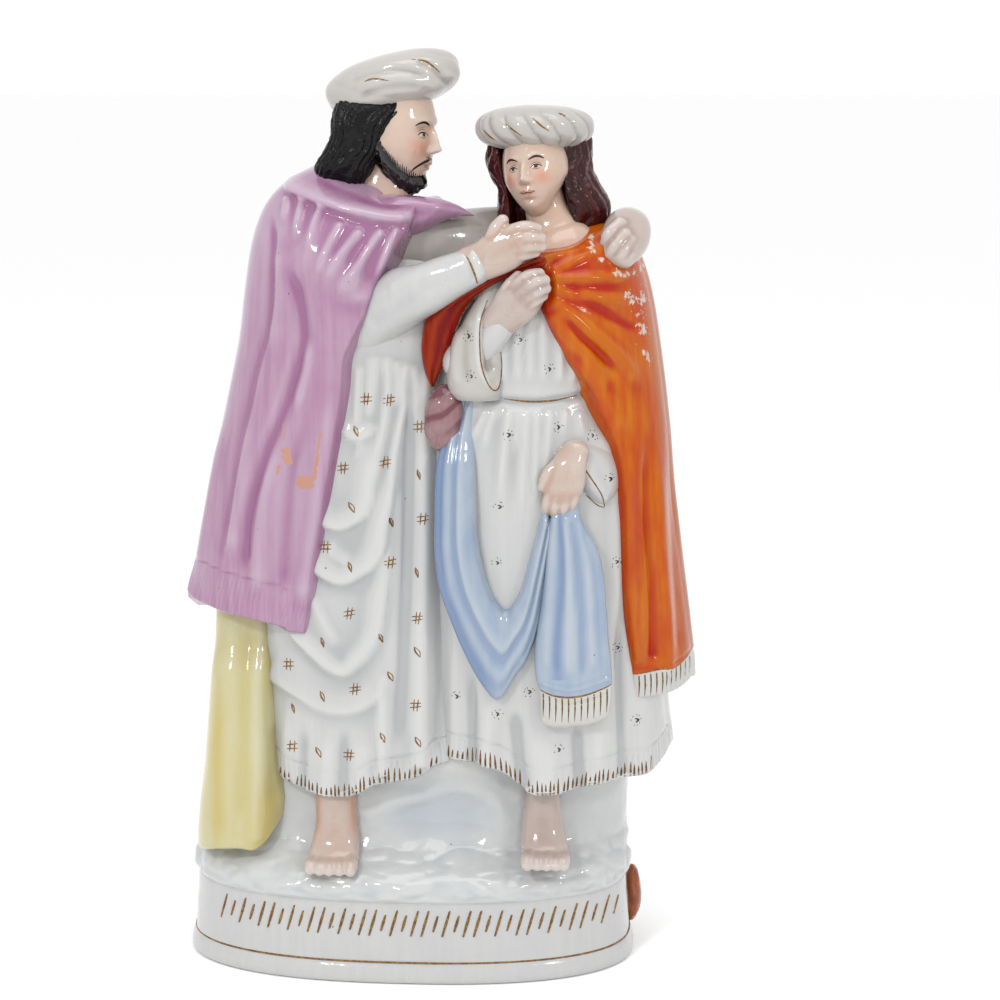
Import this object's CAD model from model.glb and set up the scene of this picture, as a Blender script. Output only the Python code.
import bpy
import numpy as np
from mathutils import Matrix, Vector
from mathutils.bvhtree import BVHTree


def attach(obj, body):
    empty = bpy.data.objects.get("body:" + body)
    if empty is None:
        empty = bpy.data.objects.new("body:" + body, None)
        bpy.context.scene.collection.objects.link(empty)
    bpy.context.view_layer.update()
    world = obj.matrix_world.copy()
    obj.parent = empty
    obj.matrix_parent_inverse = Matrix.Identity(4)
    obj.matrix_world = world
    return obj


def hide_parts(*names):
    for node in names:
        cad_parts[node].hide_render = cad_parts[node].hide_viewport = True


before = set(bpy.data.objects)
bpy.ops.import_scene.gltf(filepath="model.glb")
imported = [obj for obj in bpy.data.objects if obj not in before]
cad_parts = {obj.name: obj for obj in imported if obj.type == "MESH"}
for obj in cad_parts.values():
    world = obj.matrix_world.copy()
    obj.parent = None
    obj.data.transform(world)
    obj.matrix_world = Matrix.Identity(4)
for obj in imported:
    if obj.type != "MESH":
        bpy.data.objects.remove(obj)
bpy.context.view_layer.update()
mm = 0.001

camera = {"place": (0.09663, -0.88417, 0.33508), "aim": (0.0348, 0.0, 0.1788), "lens": 84.13}


def placeCamera():
    data = bpy.data.cameras.new("camera")
    data.lens = camera["lens"]
    data.sensor_width = 36
    data.clip_start = 0.01
    holder = bpy.data.objects.new("camera", data)
    holder.location = camera["place"]
    look = Vector(camera["aim"]) - Vector(camera["place"])
    holder.rotation_euler = look.to_track_quat("-Z", "Y").to_euler()
    bpy.context.scene.collection.objects.link(holder)
    bpy.context.scene.camera = holder


placeCamera()


# Curves, noise and folds

def smoothStep(value, low, high):
    # 0 below low, 1 above high, and a smooth S between them
    t = np.clip((value - low) / (high - low), 0, 1)
    return t * t * (3 - 2 * t)


def throughRows(rows, count):
    # a Catmull-Rom curve through the rows of a table, read at count places spread evenly over the row
    # number
    rows = np.asarray(rows, float)
    place = np.linspace(0, len(rows) - 1, count)
    index = np.minimum(place.astype(int), len(rows) - 2)
    t = (place - index)[:, None]
    before, start, end, after = (rows[np.clip(index + k, 0, len(rows) - 1)] for k in (-1, 0, 1, 2))
    slopeIn, slopeOut, rise = (end - before) / 2, (after - start) / 2, end - start
    cubic = slopeIn + slopeOut - 2 * rise
    return start + t * (slopeIn + t * (3 * rise - 2 * slopeIn - slopeOut + t * cubic))


def softNoise(points, size, seed=1, stretch=(1, 1, 1)):
    # random values on a cubic lattice of that cell size, blended by a smooth step along each axis, from
    # -1 to 1
    table = np.random.default_rng(seed).random(4096) * 2 - 1
    place = points / (size * np.array(stretch, float)) + 57.3
    cell = np.floor(place).astype(np.int64)
    t = place - cell
    t = t * t * (3 - 2 * t)
    total = np.zeros(points.shape[:-1])
    for corner in range(8):
        step = np.array([corner & 1, corner >> 1 & 1, corner >> 2 & 1])
        key = (cell + step) @ np.array([73856093, 19349663, 83492791])
        weight = np.where(step == 1, t, 1 - t).prod(-1)
        total += table[(key ^ key >> 13) & 4095] * weight
    return total


def foldLift(x, z, folds):
    # a fold is a rounded ridge along a smooth line: height * exp(-(distance / width)^2), with one width
    # to the left of the line, or above it, and one to its right, or below it, faded over a share of its
    # length at each end
    lift = np.zeros_like(x)
    for path, height, leftWidth, rightWidth, *fades in folds:
        fadeIn, fadeOut = fades or (0.15, 0.25)
        path = np.asarray(path, float)
        line = throughRows(path, 6 * (len(path) - 1) + 1) if len(path) > 2 else path
        run = line[-1] - line[0]
        way = np.sign(run[1]) if abs(run[1]) > abs(run[0]) else np.sign(run[0])
        reach = 3 * max(leftWidth, rightWidth)
        low, high = line.min(0) - reach, line.max(0) + reach
        near = (x > low[0]) & (x < high[0]) & (z > low[1]) & (z < high[1])
        px, pz = x[near], z[near]
        best, side, share = np.full(px.shape, 1e9), np.zeros(px.shape), np.zeros(px.shape)
        lengths = np.hypot(*np.diff(line, axis=0).T)
        done = 0.0
        for (sx, sz), (ex, ez), length in zip(line[:-1], line[1:], lengths):
            dx, dz = ex - sx, ez - sz
            t = np.clip(((px - sx) * dx + (pz - sz) * dz) / length**2, 0, 1)
            gap = np.hypot(px - sx - t * dx, pz - sz - t * dz)
            closer = gap < best
            best = np.where(closer, gap, best)
            side = np.where(closer, (px - sx) * dz - (pz - sz) * dx, side)
            share = np.where(closer, (done + t * length) / lengths.sum(), share)
            done += length
        width = np.where(side * way > 0, rightWidth, leftWidth)
        fade = smoothStep(share, -1e-6, fadeIn) * smoothStep(1 - share, -1e-6, fadeOut)
        lift[near] += height * np.exp(-((best / width) ** 2)) * fade
    return lift


def softened(field, times):
    # each value drawn towards its four neighbours on the grid, so many times over
    for _ in range(times):
        padded = np.pad(field, 1, mode="edge")
        field = (padded[:-2, 1:-1] + padded[2:, 1:-1] + padded[1:-1, :-2] + padded[1:-1, 2:] + field) / 5
    return field


# Meshes

surfaces = {}


def newPiece(name, points, faces, look, marks=None):
    # points in millimetres, faces as arrays of quads and triangles, marks as one number a point for the
    # materials
    mesh = bpy.data.meshes.new(name)
    mesh.vertices.add(len(points))
    mesh.vertices.foreach_set("co", (np.asarray(points) * mm).astype(np.float32).ravel())
    sizes = np.concatenate([np.full(len(part), part.shape[1]) for part in faces])
    corners = np.concatenate([part.ravel() for part in faces])
    mesh.loops.add(len(corners))
    mesh.loops.foreach_set("vertex_index", corners.astype(np.int32))
    mesh.polygons.add(len(sizes))
    mesh.polygons.foreach_set("loop_start", (np.cumsum(sizes) - sizes).astype(np.int32))
    mesh.polygons.foreach_set("use_smooth", np.ones(len(sizes), bool))
    mesh.update(calc_edges=True)
    for key, values in (marks or {}).items():
        layer = mesh.attributes.new(key, "FLOAT", "POINT")
        layer.data.foreach_set("value", values.astype(np.float32).ravel())
    mesh.materials.append(look)
    piece = bpy.data.objects.new(name, mesh)
    bpy.context.scene.collection.objects.link(piece)
    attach(piece, "root")
    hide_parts("figure_group")
    surfaces[name] = (np.asarray(points), faces)
    print("made", name, len(sizes), "faces")
    return piece


def gridFaces(rows, columns, turned=False):
    # quads of a grid whose columns close on themselves, and a fan of triangles to a hub at each end
    a = np.arange(rows * columns).reshape(rows, columns)
    b = np.roll(a, -1, axis=1)
    quads = np.stack([a[:-1], b[:-1], b[1:], a[1:]], -1).reshape(-1, 4)
    hub = rows * columns
    bottom = np.stack([b[0], a[0], np.full(columns, hub)], -1)
    top = np.stack([a[-1], b[-1], np.full(columns, hub + 1)], -1)
    faces = [quads, np.concatenate([bottom, top])]
    return [part[:, ::-1] for part in faces] if turned else faces


def enclosed(points, faces):
    # the volume that the faces enclose, negative where they face inwards
    total = 0.0
    for part in faces:
        corner = points[part]
        for k in range(1, part.shape[1] - 1):
            total += np.einsum("ij,ij->", corner[:, 0], np.cross(corner[:, k], corner[:, k + 1]))
    return total


def closedGrid(grid, marks=None):
    # a grid of rings as points and outward faces, its ends closed by hubs in the middle of the end rings
    rows, columns = grid.shape[:2]
    hubs = np.stack([grid[0].mean(0), grid[-1].mean(0)])
    points = np.concatenate([grid.reshape(-1, 3), hubs])
    faces = gridFaces(rows, columns)
    if enclosed(points, faces) < 0:
        faces = gridFaces(rows, columns, True)
    filled = {}
    for key, values in (marks or {}).items():
        filled[key] = np.concatenate([values.ravel(), [values[0].mean(), values[-1].mean()]])
    return points, faces, filled


def joined(parts):
    # several closed surfaces as one set of points and faces
    points, faces, start = [], [], 0
    for part in parts:
        points.append(part[0])
        faces.extend(face + start for face in part[1])
        start += len(part[0])
    return np.concatenate(points), faces


def fused(parts, voxel, rounds):
    # overlapping closed surfaces remeshed into one skin, then smoothed, so that their meeting lines soften
    points, faces = joined(parts)
    mesh = bpy.data.meshes.new("raw")
    mesh.from_pydata(points.tolist(), [], [corners for part in faces for corners in part.tolist()])
    raw = bpy.data.objects.new("raw", mesh)
    bpy.context.scene.collection.objects.link(raw)
    remesh = raw.modifiers.new("remesh", "REMESH")
    remesh.mode = "VOXEL"
    remesh.voxel_size = voxel
    smooth = raw.modifiers.new("smooth", "SMOOTH")
    smooth.factor = 0.5
    smooth.iterations = rounds
    result = raw.evaluated_get(bpy.context.evaluated_depsgraph_get()).to_mesh()
    places = np.empty(len(result.vertices) * 3, np.float32)
    result.vertices.foreach_get("co", places)
    starts = np.empty(len(result.polygons), np.int32)
    totals = np.empty(len(result.polygons), np.int32)
    corners = np.empty(len(result.loops), np.int32)
    result.polygons.foreach_get("loop_start", starts)
    result.polygons.foreach_get("loop_total", totals)
    result.loops.foreach_get("vertex_index", corners)
    bpy.data.objects.remove(raw)
    bpy.data.meshes.remove(mesh)
    made = [corners[starts[totals == n][:, None] + np.arange(n)] for n in (4, 3) if (totals == n).any()]
    return places.reshape(-1, 3).astype(float), made


# Rings and sweeps

def frontTurns(front, back):
    # turns round an oval: front steps on the half with a negative sine, then back steps behind
    return np.concatenate([np.linspace(-np.pi, 0, front, endpoint=False),
                           np.linspace(0, np.pi, back, endpoint=False)])


def ovalRings(rows, levels, turns, square):
    # one squarish oval for each level: middle plus half size times sign(c) * |c|^(2 / square), and the
    # way out of it
    z, left, right, front, back = throughRows(rows, levels).T[:, :, None]
    cosine, sine = np.broadcast_arrays(np.cos(turns), np.sin(turns))
    power = 2 / square
    halfX, halfY = (right - left) / 2, (back - front) / 2
    x = (left + right) / 2 + halfX * np.sign(cosine) * np.abs(cosine) ** power
    y = (front + back) / 2 + halfY * np.sign(sine) * np.abs(sine) ** power
    outward = np.stack(np.broadcast_arrays(cosine / halfX, sine / halfY, 0 * x), -1)
    outward /= np.linalg.norm(outward, axis=-1, keepdims=True)
    return np.stack(np.broadcast_arrays(x, y, z), -1), outward


def shellTurns(shape, levels):
    # the turns of a cloak: from the front edge, given as x at a height, round one side to a place at
    # the back
    rows = throughRows(shape["rows"], levels)
    edge = np.array(shape["edge"], float)
    at = throughRows(edge, 200)
    start = np.interp(rows[:, 0], at[:, 0], at[:, 1])
    offset = (start - (rows[:, 1] + rows[:, 2]) / 2) / ((rows[:, 2] - rows[:, 1]) / 2) * shape["side"]
    offset = np.clip(offset, -0.97, 0.97)
    begin = np.arccos(np.sign(offset) * np.abs(offset) ** (shape["square"] / 2))[:, None]
    front = begin * (np.linspace(1, 0, shape["front"], endpoint=False) ** 1.12)[None, :]
    back = np.linspace(0, shape["backReach"], shape["back"])[None, :]
    angle = np.concatenate([-front, np.broadcast_to(back, (levels, shape["back"]))], 1)
    turn = angle if shape["side"] > 0 else np.pi - angle
    return np.arctan2(np.sin(turn), np.cos(turn))


def unitBall(theta, phi):
    # directions at a rise theta and a turn phi
    spread = np.cos(theta) * np.cos(phi), np.cos(theta) * np.sin(phi), np.sin(theta)
    return np.stack(np.broadcast_arrays(*spread), -1)


def roundedStart(grid, outward, radius):
    # the first columns sink along a quarter circle, so that the front edge of a cloak is a soft roll
    run = np.cumsum(np.linalg.norm(np.diff(grid, axis=1, prepend=grid[:, :1]), axis=-1), axis=1)
    left = np.clip(radius - run, 0, radius)
    return grid - outward * (radius - np.sqrt(radius**2 - left**2))[..., None]


lipSteps = 4


def withLip(grid, outward, radius):
    # a rolled lower edge: extra rings on a quarter circle that turns in and down below the lowest ring
    angle = np.linspace(np.pi / 2, 0, lipSteps + 1)[:-1, None, None]
    ring = grid[0] - outward[0] * radius * (1 - np.cos(angle))
    ring[..., 2] -= (radius * np.sin(angle))[..., 0]
    return np.concatenate([ring, grid])


def withLipRows(values):
    # the marks of the lowest ring repeated for the rings of the lip
    return np.concatenate([values[:1]] * lipSteps + [values])


def drapeGrid(shape):
    # a draped mass or a cloak: its ovals, its lower rows drawn to the hem line, then pushed out by its
    # folds in front, by broad flutes behind and by a faint unevenness
    turns = frontTurns(shape["front"], shape["back"])[None, :]
    if "edge" in shape:
        turns = shellTurns(shape, shape["levels"])
    grid, outward = ovalRings(shape["rows"], shape["levels"], turns, shape["square"])
    onFront = np.clip(0.5 - 3 * np.sin(turns), 0, 1)
    low = grid[0, 0, 2]
    if "hem" in shape:
        hem = throughRows(shape["hem"], 200)
        drop = np.interp(grid[..., 0], hem[:, 0], hem[:, 1]) - low
        drop = drop * (onFront + (1 - onFront) * shape.get("hemBehind", 1))
        grid[..., 2] += drop * (1 - smoothStep(grid[..., 2] - low, 0, 26))
    if "neck" in shape:
        neck = throughRows(shape["neck"], 200)
        top = grid[-1, 0, 2]
        drop = np.interp(grid[..., 0], neck[:, 0], neck[:, 1]) - top
        drop = drop * np.maximum(onFront, shape.get("neckBehind", 0))
        grid[..., 2] += drop * smoothStep(grid[..., 2], top - 15, top)
    x, z = grid[..., 0].copy(), grid[..., 2].copy()
    lift = foldLift(x, z, shape["folds"]) * onFront
    height, count, lean = shape.get("flutes", (0, 1, 0))
    behind = np.cos(count * turns + lean * z) + 0.5 * np.cos(1.7 * count * turns - lean * z + 1)
    lift += height * behind * (1 - onFront)
    lift += shape.get("uneven", 0.12) * softNoise(grid, 9, 4, (1, 1, 2))
    if "fringe" in shape:
        lift += fringeLift(grid, shape["fringe"], low, onFront, shape)
    grid = grid + outward * lift[..., None]
    crest = lift - softened(lift, 40)
    if "edge" in shape:
        grid = roundedStart(grid, outward, shape["edgeRadius"])
    return grid, outward, crest


def fringeLift(grid, fringe, low, onFront, shape):
    # tufts in a band above the hem: sunk grooves between them, deeper towards the tips, and a scored
    # line on top
    hem = throughRows(shape["hem"], 200)
    line = np.interp(grid[..., 0], hem[:, 0], hem[:, 1]) * onFront + low * (1 - onFront)
    above = grid[..., 2] - line
    steps = np.diff(grid[..., :2], axis=1, prepend=grid[:, :1, :2])
    around = np.cumsum(np.linalg.norm(steps, axis=-1), axis=1)
    around = around[: max(2, len(around) // 10)].mean(0)[None, :]
    tuft = np.abs(np.cos(np.pi * around / fringe["pitch"] + 1.5 * np.sin(around / 7.3)))
    band = 1 - smoothStep(above, fringe["tall"] - 1.5, fringe["tall"])
    scored = np.exp(-(((above - fringe["tall"] - 0.6) / 0.45) ** 2))
    return -fringe["deep"] * (1 - tuft**0.6) * band - fringe["scored"] * scored


def sweep(path, across, deep, sides=40, square=2.2, cap=6):
    # an oval section carried along a path: across and deep are its half axes as vectors, one a station,
    # and the ends are rounded by extra rings that shrink along a quarter circle
    along = np.gradient(path, axis=0)
    along /= np.linalg.norm(along, axis=1, keepdims=True)
    size = np.minimum(np.linalg.norm(across, axis=1), np.linalg.norm(deep, axis=1))
    angle = np.linspace(0, np.pi / 2, cap + 1)[1:]
    def capRings(index, way):
        scale = np.maximum(np.cos(angle), 0.02)[:, None]
        middle = path[index] + way * along[index] * size[index] * np.sin(angle)[:, None]
        return middle, across[index] * scale, deep[index] * scale
    rings = [[part[::-1] for part in capRings(0, -1)], (path, across, deep), capRings(-1, 1)]
    path, across, deep = (np.concatenate([part[k] for part in rings]) for k in range(3))
    turn = np.linspace(-np.pi, np.pi, sides, endpoint=False)
    power = 2 / square
    c = np.sign(np.cos(turn)) * np.abs(np.cos(turn)) ** power
    s = np.sign(np.sin(turn)) * np.abs(np.sin(turn)) ** power
    grid = path[:, None] + across[:, None] * c[None, :, None] + deep[:, None] * s[None, :, None]
    def scaled(vectors):
        return vectors / np.maximum((vectors**2).sum(1, keepdims=True), 1e-9)
    outward = scaled(across)[:, None] * np.cos(turn)[None, :, None]
    outward = outward + scaled(deep)[:, None] * np.sin(turn)[None, :, None]
    outward /= np.maximum(np.linalg.norm(outward, axis=-1, keepdims=True), 1e-9)
    return grid, outward, c


def tube(stations, rings, hint=(1, 0, 0), **options):
    # a sweep along stations of x, y, z, half width and half depth; the width lies along the hint,
    # square to the path
    values = throughRows(stations, rings)
    path = values[:, :3]
    along = np.gradient(path, axis=0)
    along /= np.linalg.norm(along, axis=1, keepdims=True)
    wide = np.array(hint, float) - along * (along @ np.array(hint, float))[:, None]
    wide /= np.linalg.norm(wide, axis=1, keepdims=True)
    return sweep(path, wide * values[:, 3:4], np.cross(wide, along) * values[:, 4:5], **options)


def ribbon(stations, rings, **options):
    # a sweep between two edges: stations of left x, z, right x, z, middle y and half depth
    values = throughRows(stations, rings)
    leftX, leftZ, rightX, rightZ, y, depth = values.T
    path = np.stack([(leftX + rightX) / 2, y, (leftZ + rightZ) / 2], 1)
    across = np.stack([(rightX - leftX) / 2, 0 * y, (rightZ - leftZ) / 2], 1)
    return sweep(path, across, np.stack([0 * y, -depth, 0 * y], 1), **options)


# Painted lines

def treeOf(*names):
    # a ray-casting tree of some pieces, in millimetres
    points, faces = joined([surfaces[name] for name in names])
    return BVHTree.FromPolygons(points.tolist(), [corners for part in faces for corners in part.tolist()])


frontView = {"origin": (0, 0, 0), "right": (1, 0, 0), "up": (0, 0, 1), "look": (0, 1, 0)}


def paintedStroke(tree, path, widths, view=frontView, proud=0.05, gap=0.7):
    # a thin line laid on a surface: its middle is a smooth path seen in a view, and each station casts
    # rays at the surface for a flat section with thin edges, closed beneath
    origin, right, up, look = (np.array(view[key], float) for key in ("origin", "right", "up", "look"))
    path = np.asarray(path, float)
    length = np.hypot(*np.diff(path, axis=0).T).sum()
    count = max(4, int(length / gap))
    line = throughRows(path, count) if len(path) > 2 else np.linspace(path[0], path[1], count)
    half = np.interp(np.linspace(0, 1, count), np.linspace(0, 1, len(widths)), widths) / 2
    along = np.gradient(line, axis=0)
    along /= np.maximum(np.linalg.norm(along, axis=1, keepdims=True), 1e-9)
    across = np.stack([along[:, 1], -along[:, 0]], 1)
    rings = []
    for middle, side, width in zip(line, across, half):
        ring = []
        for share, height in ((-1, 0), (-0.55, 1), (0.55, 1), (1, 0)):
            spot = middle + side * share * width
            start = origin + right * spot[0] + up * spot[1] - look * 200
            place = tree.ray_cast(Vector(start), Vector(look))[0]
            if place is None:
                return None
            ring.append(np.array(place) - look * (height * proud + 0.01))
        ring += [ring[2] + look * 0.35, ring[1] + look * 0.35]
        rings.append(ring)
    grid = np.array(rings)
    points, faces, _ = closedGrid(grid)
    return points, faces


def paintPiece(name, strokes, look):
    # all strokes of one colour as one piece
    kept = [stroke for stroke in strokes if stroke is not None]
    points, faces = joined(kept)
    quads = np.concatenate([part for part in faces if part.shape[1] == 4])
    triangles = np.concatenate([part for part in faces if part.shape[1] == 3])
    return newPiece(name, points, [quads, triangles], look)


# Finishes

def seen(red, green, blue, gain=1.2, haze=0.07):
    # a shader colour that comes out as this screen colour under the studio light
    screen = np.array([red, green, blue], float) / 255
    linear = np.where(screen <= 0.04045, screen / 12.92, ((screen + 0.055) / 1.055) ** 2.4)
    return (*np.clip((linear - haze) / gain, 0.002, 1).tolist(), 1.0)


def feed(tree, socket, value):
    # a link from another node's output, or a plain value
    if isinstance(value, bpy.types.NodeSocket):
        tree.links.new(value, socket)
    else:
        socket.default_value = value


def addNode(tree, kind, settings=None, **values):
    # a node with its settings, and its sockets set to values or linked to other nodes' outputs
    node = tree.nodes.new("ShaderNode" + kind)
    for key, value in (settings or {}).items():
        setattr(node, key, value)
    for key, value in values.items():
        feed(tree, node.inputs[key.replace("_", " ")], value)
    return node


def blendColours(tree, factor, first, second):
    node = tree.nodes.new("ShaderNodeMix")
    node.data_type = "RGBA"
    for index, value in ((0, factor), (6, first), (7, second)):
        feed(tree, node.inputs[index], value)
    return node.outputs[2]


def between(tree, value, low, high, outLow=0.0, outHigh=1.0):
    node = tree.nodes.new("ShaderNodeMapRange")
    tree.links.new(value, node.inputs[0])
    for index, number in zip((1, 2, 3, 4), (low, high, outLow, outHigh)):
        node.inputs[index].default_value = number
    return node.outputs[0]


def noiseAt(tree, place, scale, stretch=(1, 1, 1), detail=4.0, roughness=0.55):
    mapped = addNode(tree, "Mapping", None, Vector=place, Scale=stretch).outputs[0]
    return addNode(tree, "TexNoise", None, Vector=mapped, Scale=scale, Detail=detail,
                   Roughness=roughness).outputs[0]


def markOf(tree, name):
    return addNode(tree, "Attribute", {"attribute_name": name}).outputs["Fac"]


def newFinish(name):
    # a new material, its nodes, its shader and the place on the object
    material = bpy.data.materials.new(name)
    material.use_nodes = True
    tree = material.node_tree
    return material, tree, tree.nodes["Principled BSDF"], addNode(tree, "TexCoord").outputs["Object"]


def glazed(name, look):
    # a brushed enamel under a clear glaze: long brush streaks, a slow drift of tone, a darker colour in
    # the hollows and a paler one on the crests, small specks, and bare or worn places where the piece
    # marks them
    material, tree, shader, place = newFinish(name)
    streaks = noiseAt(tree, place, look.get("streakScale", 400), look.get("streakStretch", (1, 1, 0.06)),
                      6.0)
    colour = blendColours(tree, between(tree, streaks, 0.36, 0.64), seen(*look["base"]),
                          seen(*look["streak"]))
    drift = noiseAt(tree, place, look.get("driftScale", 40), look.get("driftStretch", (1, 1, 0.5)), 3.0)
    drifted = between(tree, drift, 0.42, 0.7, 0, look.get("driftShare", 0.6))
    colour = blendColours(tree, drifted, colour, seen(*look["drift"]))
    if "crest" in look:
        crest = markOf(tree, "crest")
        high = between(tree, crest, 0.05, look.get("crestFull", 0.7), 0, look.get("crestShare", 0.7))
        colour = blendColours(tree, high, colour, seen(*look["crest"]))
        deep = between(tree, crest, -0.04, -look.get("hollowFull", 0.6), 0, look.get("hollowShare", 0.8))
        colour = blendColours(tree, deep, colour, seen(*look["hollow"]))
    if "tint" in look:
        tint = between(tree, markOf(tree, "tint"), 0, 1, 0, 1)
        colour = blendColours(tree, tint, colour, seen(*look["tint"]))
    if "patch" in look:
        ragged = noiseAt(tree, place, look.get("raggedScale", 900), (1, 1, 1), 5.0, 0.65)
        adding = addNode(tree, "Math", {"operation": "ADD"})
        feed(tree, adding.inputs[0], markOf(tree, "patch"))
        feed(tree, adding.inputs[1], between(tree, ragged, 0.3, 0.7, -look["ragged"], look["ragged"]))
        torn = between(tree, adding.outputs[0], 0.46, 0.54)
        colour = blendColours(tree, torn, colour, seen(*look["patch"]))
    if "bare" in look:
        bare = between(tree, markOf(tree, "bare"), 0.49, 0.51)
        colour = blendColours(tree, bare, colour, seen(*look["bare"]))
    if look.get("speckSize", 0.035) > 0:
        specks = addNode(tree, "TexVoronoi", None, Vector=place,
                         Scale=look.get("speckScale", 90.0)).outputs["Distance"]
        dotted = between(tree, specks, look.get("speckSize", 0.035), 0.02, 0, 0.75)
        colour = blendColours(tree, dotted, colour, seen(*look.get("speck", (90, 85, 90))))
    ripple = noiseAt(tree, place, look.get("rippleScale", 260), (1, 1, 1), 3.0)
    bump = addNode(tree, "Bump", None, Height=ripple, Strength=look.get("ripple", 0.22), Distance=0.0006)
    finish = {
        "Base Color": colour, "Roughness": look.get("roughness", 0.12), "IOR": 1.5,
        "Specular IOR Level": look.get("shine", 0.5), "Coat Weight": look.get("coat", 0.25),
        "Coat Roughness": 0.04, "Normal": bump.outputs[0],
    }
    for key, value in finish.items():
        feed(tree, shader.inputs[key], value)
    return material


whiteLook = {
    "base": (206, 206, 204), "streak": (201, 202, 201), "drift": (198, 199, 200), "driftScale": 30,
    "crest": (214, 214, 212), "hollow": (178, 180, 181), "speckScale": 70, "speckSize": 0.03,
}
whiteGlaze = glazed("white glaze", whiteLook)
groundGlaze = glazed("ground glaze", {
    **whiteLook, "base": (209, 211, 210), "streak": (204, 206, 207), "drift": (212, 213, 211),
    "driftScale": 60, "hollow": (192, 196, 199), "hollowShare": 0.8, "streakStretch": (1, 1, 1),
    "streakScale": 90, "ripple": 0.3, "tint": (193, 199, 208),
})
turbanGlaze = glazed("turban glaze", {
    **whiteLook, "base": (193, 189, 184), "streak": (189, 185, 180), "drift": (199, 196, 191),
    "hollow": (162, 158, 152),
})
sleeveGlaze = glazed("far sleeve glaze", {
    **whiteLook, "base": (190, 184, 179), "streak": (185, 179, 173), "drift": (198, 194, 190),
})
pinkEnamel = glazed("pink enamel", {
    "base": (186, 154, 176), "streak": (177, 140, 167), "drift": (189, 166, 185), "driftShare": 0.75,
    "crest": (200, 180, 196), "hollow": (160, 114, 148), "patch": (197, 152, 134), "ragged": 0.46,
    "raggedScale": 520, "streakScale": 330, "streakStretch": (1, 1, 0.035), "tint": (170, 124, 158),
    "speckScale": 120, "speck": (110, 60, 100), "speckSize": 0.05,
})
orangeEnamel = glazed("orange enamel", {
    "base": (198, 106, 24), "streak": (206, 130, 26), "drift": (188, 86, 22), "driftShare": 0.75,
    "driftScale": 55, "crest": (198, 120, 74), "crestShare": 0.7, "hollow": (178, 74, 20),
    "patch": (212, 200, 190), "ragged": 0.36, "streakScale": 260, "streakStretch": (1, 1, 0.12),
    "bare": (206, 206, 203), "tint": (180, 108, 60), "raggedScale": 420, "speck": (225, 150, 90),
    "speckScale": 160, "speckSize": 0.06, "shine": 0.2, "coat": 0.06,
})
wingEnamel = glazed("orange wing enamel", {
    "base": (150, 72, 28), "streak": (172, 92, 28), "drift": (134, 56, 24), "crest": (164, 90, 42),
    "hollow": (124, 48, 22), "streakScale": 300, "streakStretch": (1, 1, 0.15), "patch": (210, 200, 190),
    "ragged": 0.3, "raggedScale": 500, "shine": 0.14, "coat": 0.0,
})
blueEnamel = glazed("blue enamel", {
    "base": (168, 181, 197), "streak": (158, 173, 194), "drift": (180, 189, 199), "crest": (192, 199, 206),
    "hollow": (146, 163, 190), "hollowShare": 0.7, "tint": (126, 146, 180), "bare": (206, 205, 200),
    "streakScale": 300, "streakStretch": (1, 1, 0.05), "driftScale": 90, "driftShare": 0.8,
})
yellowEnamel = glazed("yellow enamel", {
    "base": (207, 201, 163), "streak": (203, 195, 152), "drift": (205, 192, 130), "driftScale": 55,
    "crest": (212, 210, 188), "hollow": (200, 190, 140), "tint": (200, 180, 100), "streakScale": 200,
    "streakStretch": (1, 1, 0.08),
})
fleshEnamel = glazed("flesh enamel", {
    "base": (206, 193, 184), "streak": (204, 188, 178), "drift": (209, 199, 192), "crest": (212, 203, 197),
    "hollow": (190, 162, 148), "hollowShare": 0.8, "tint": (206, 154, 128), "streakStretch": (1, 1, 0.4),
    "speckScale": 40, "speckSize": 0.0,
})
faceEnamel = glazed("face enamel", {
    "base": (214, 190, 174), "streak": (211, 186, 169), "drift": (216, 196, 184), "crest": (218, 202, 190),
    "hollow": (192, 154, 134), "hollowShare": 0.8, "hollowFull": 1.1, "tint": (214, 140, 112),
    "bare": (34, 34, 36), "streakStretch": (1, 1, 1), "speckSize": 0.0,
})
paleFlesh = glazed("pale flesh", {
    "base": (203, 191, 184), "streak": (199, 185, 177), "drift": (208, 199, 194), "crest": (212, 206, 202),
    "hollow": (176, 158, 150), "hollowShare": 0.9, "streakStretch": (1, 1, 0.5), "speckSize": 0.0,
})
blackEnamel = glazed("black enamel", {
    "base": (38, 38, 40), "streak": (30, 30, 33), "drift": (52, 53, 56), "crest": (60, 61, 64),
    "hollow": (22, 22, 25), "crestFull": 0.5, "streakScale": 700, "speckSize": 0.0, "ripple": 0.6,
    "rippleScale": 700, "roughness": 0.16, "shine": 0.22, "coat": 0.0,
})
brownEnamel = glazed("brown enamel", {
    "base": (96, 56, 58), "streak": (84, 46, 50), "drift": (112, 66, 64), "crest": (124, 78, 76),
    "hollow": (66, 36, 42), "crestFull": 0.5, "streakScale": 700, "speckSize": 0.0, "ripple": 0.6,
    "rippleScale": 600, "roughness": 0.16, "shine": 0.3, "coat": 0.0,
})
pouchEnamel = glazed("pouch enamel", {
    "base": (162, 132, 134), "streak": (152, 120, 122), "drift": (172, 148, 148), "crest": (178, 154, 154),
    "hollow": (126, 92, 98), "tint": (126, 90, 98), "streakScale": 600, "streakStretch": (1, 1, 0.4),
    "driftScale": 120, "speck": (215, 200, 200), "speckScale": 300, "speckSize": 0.07,
})


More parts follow.
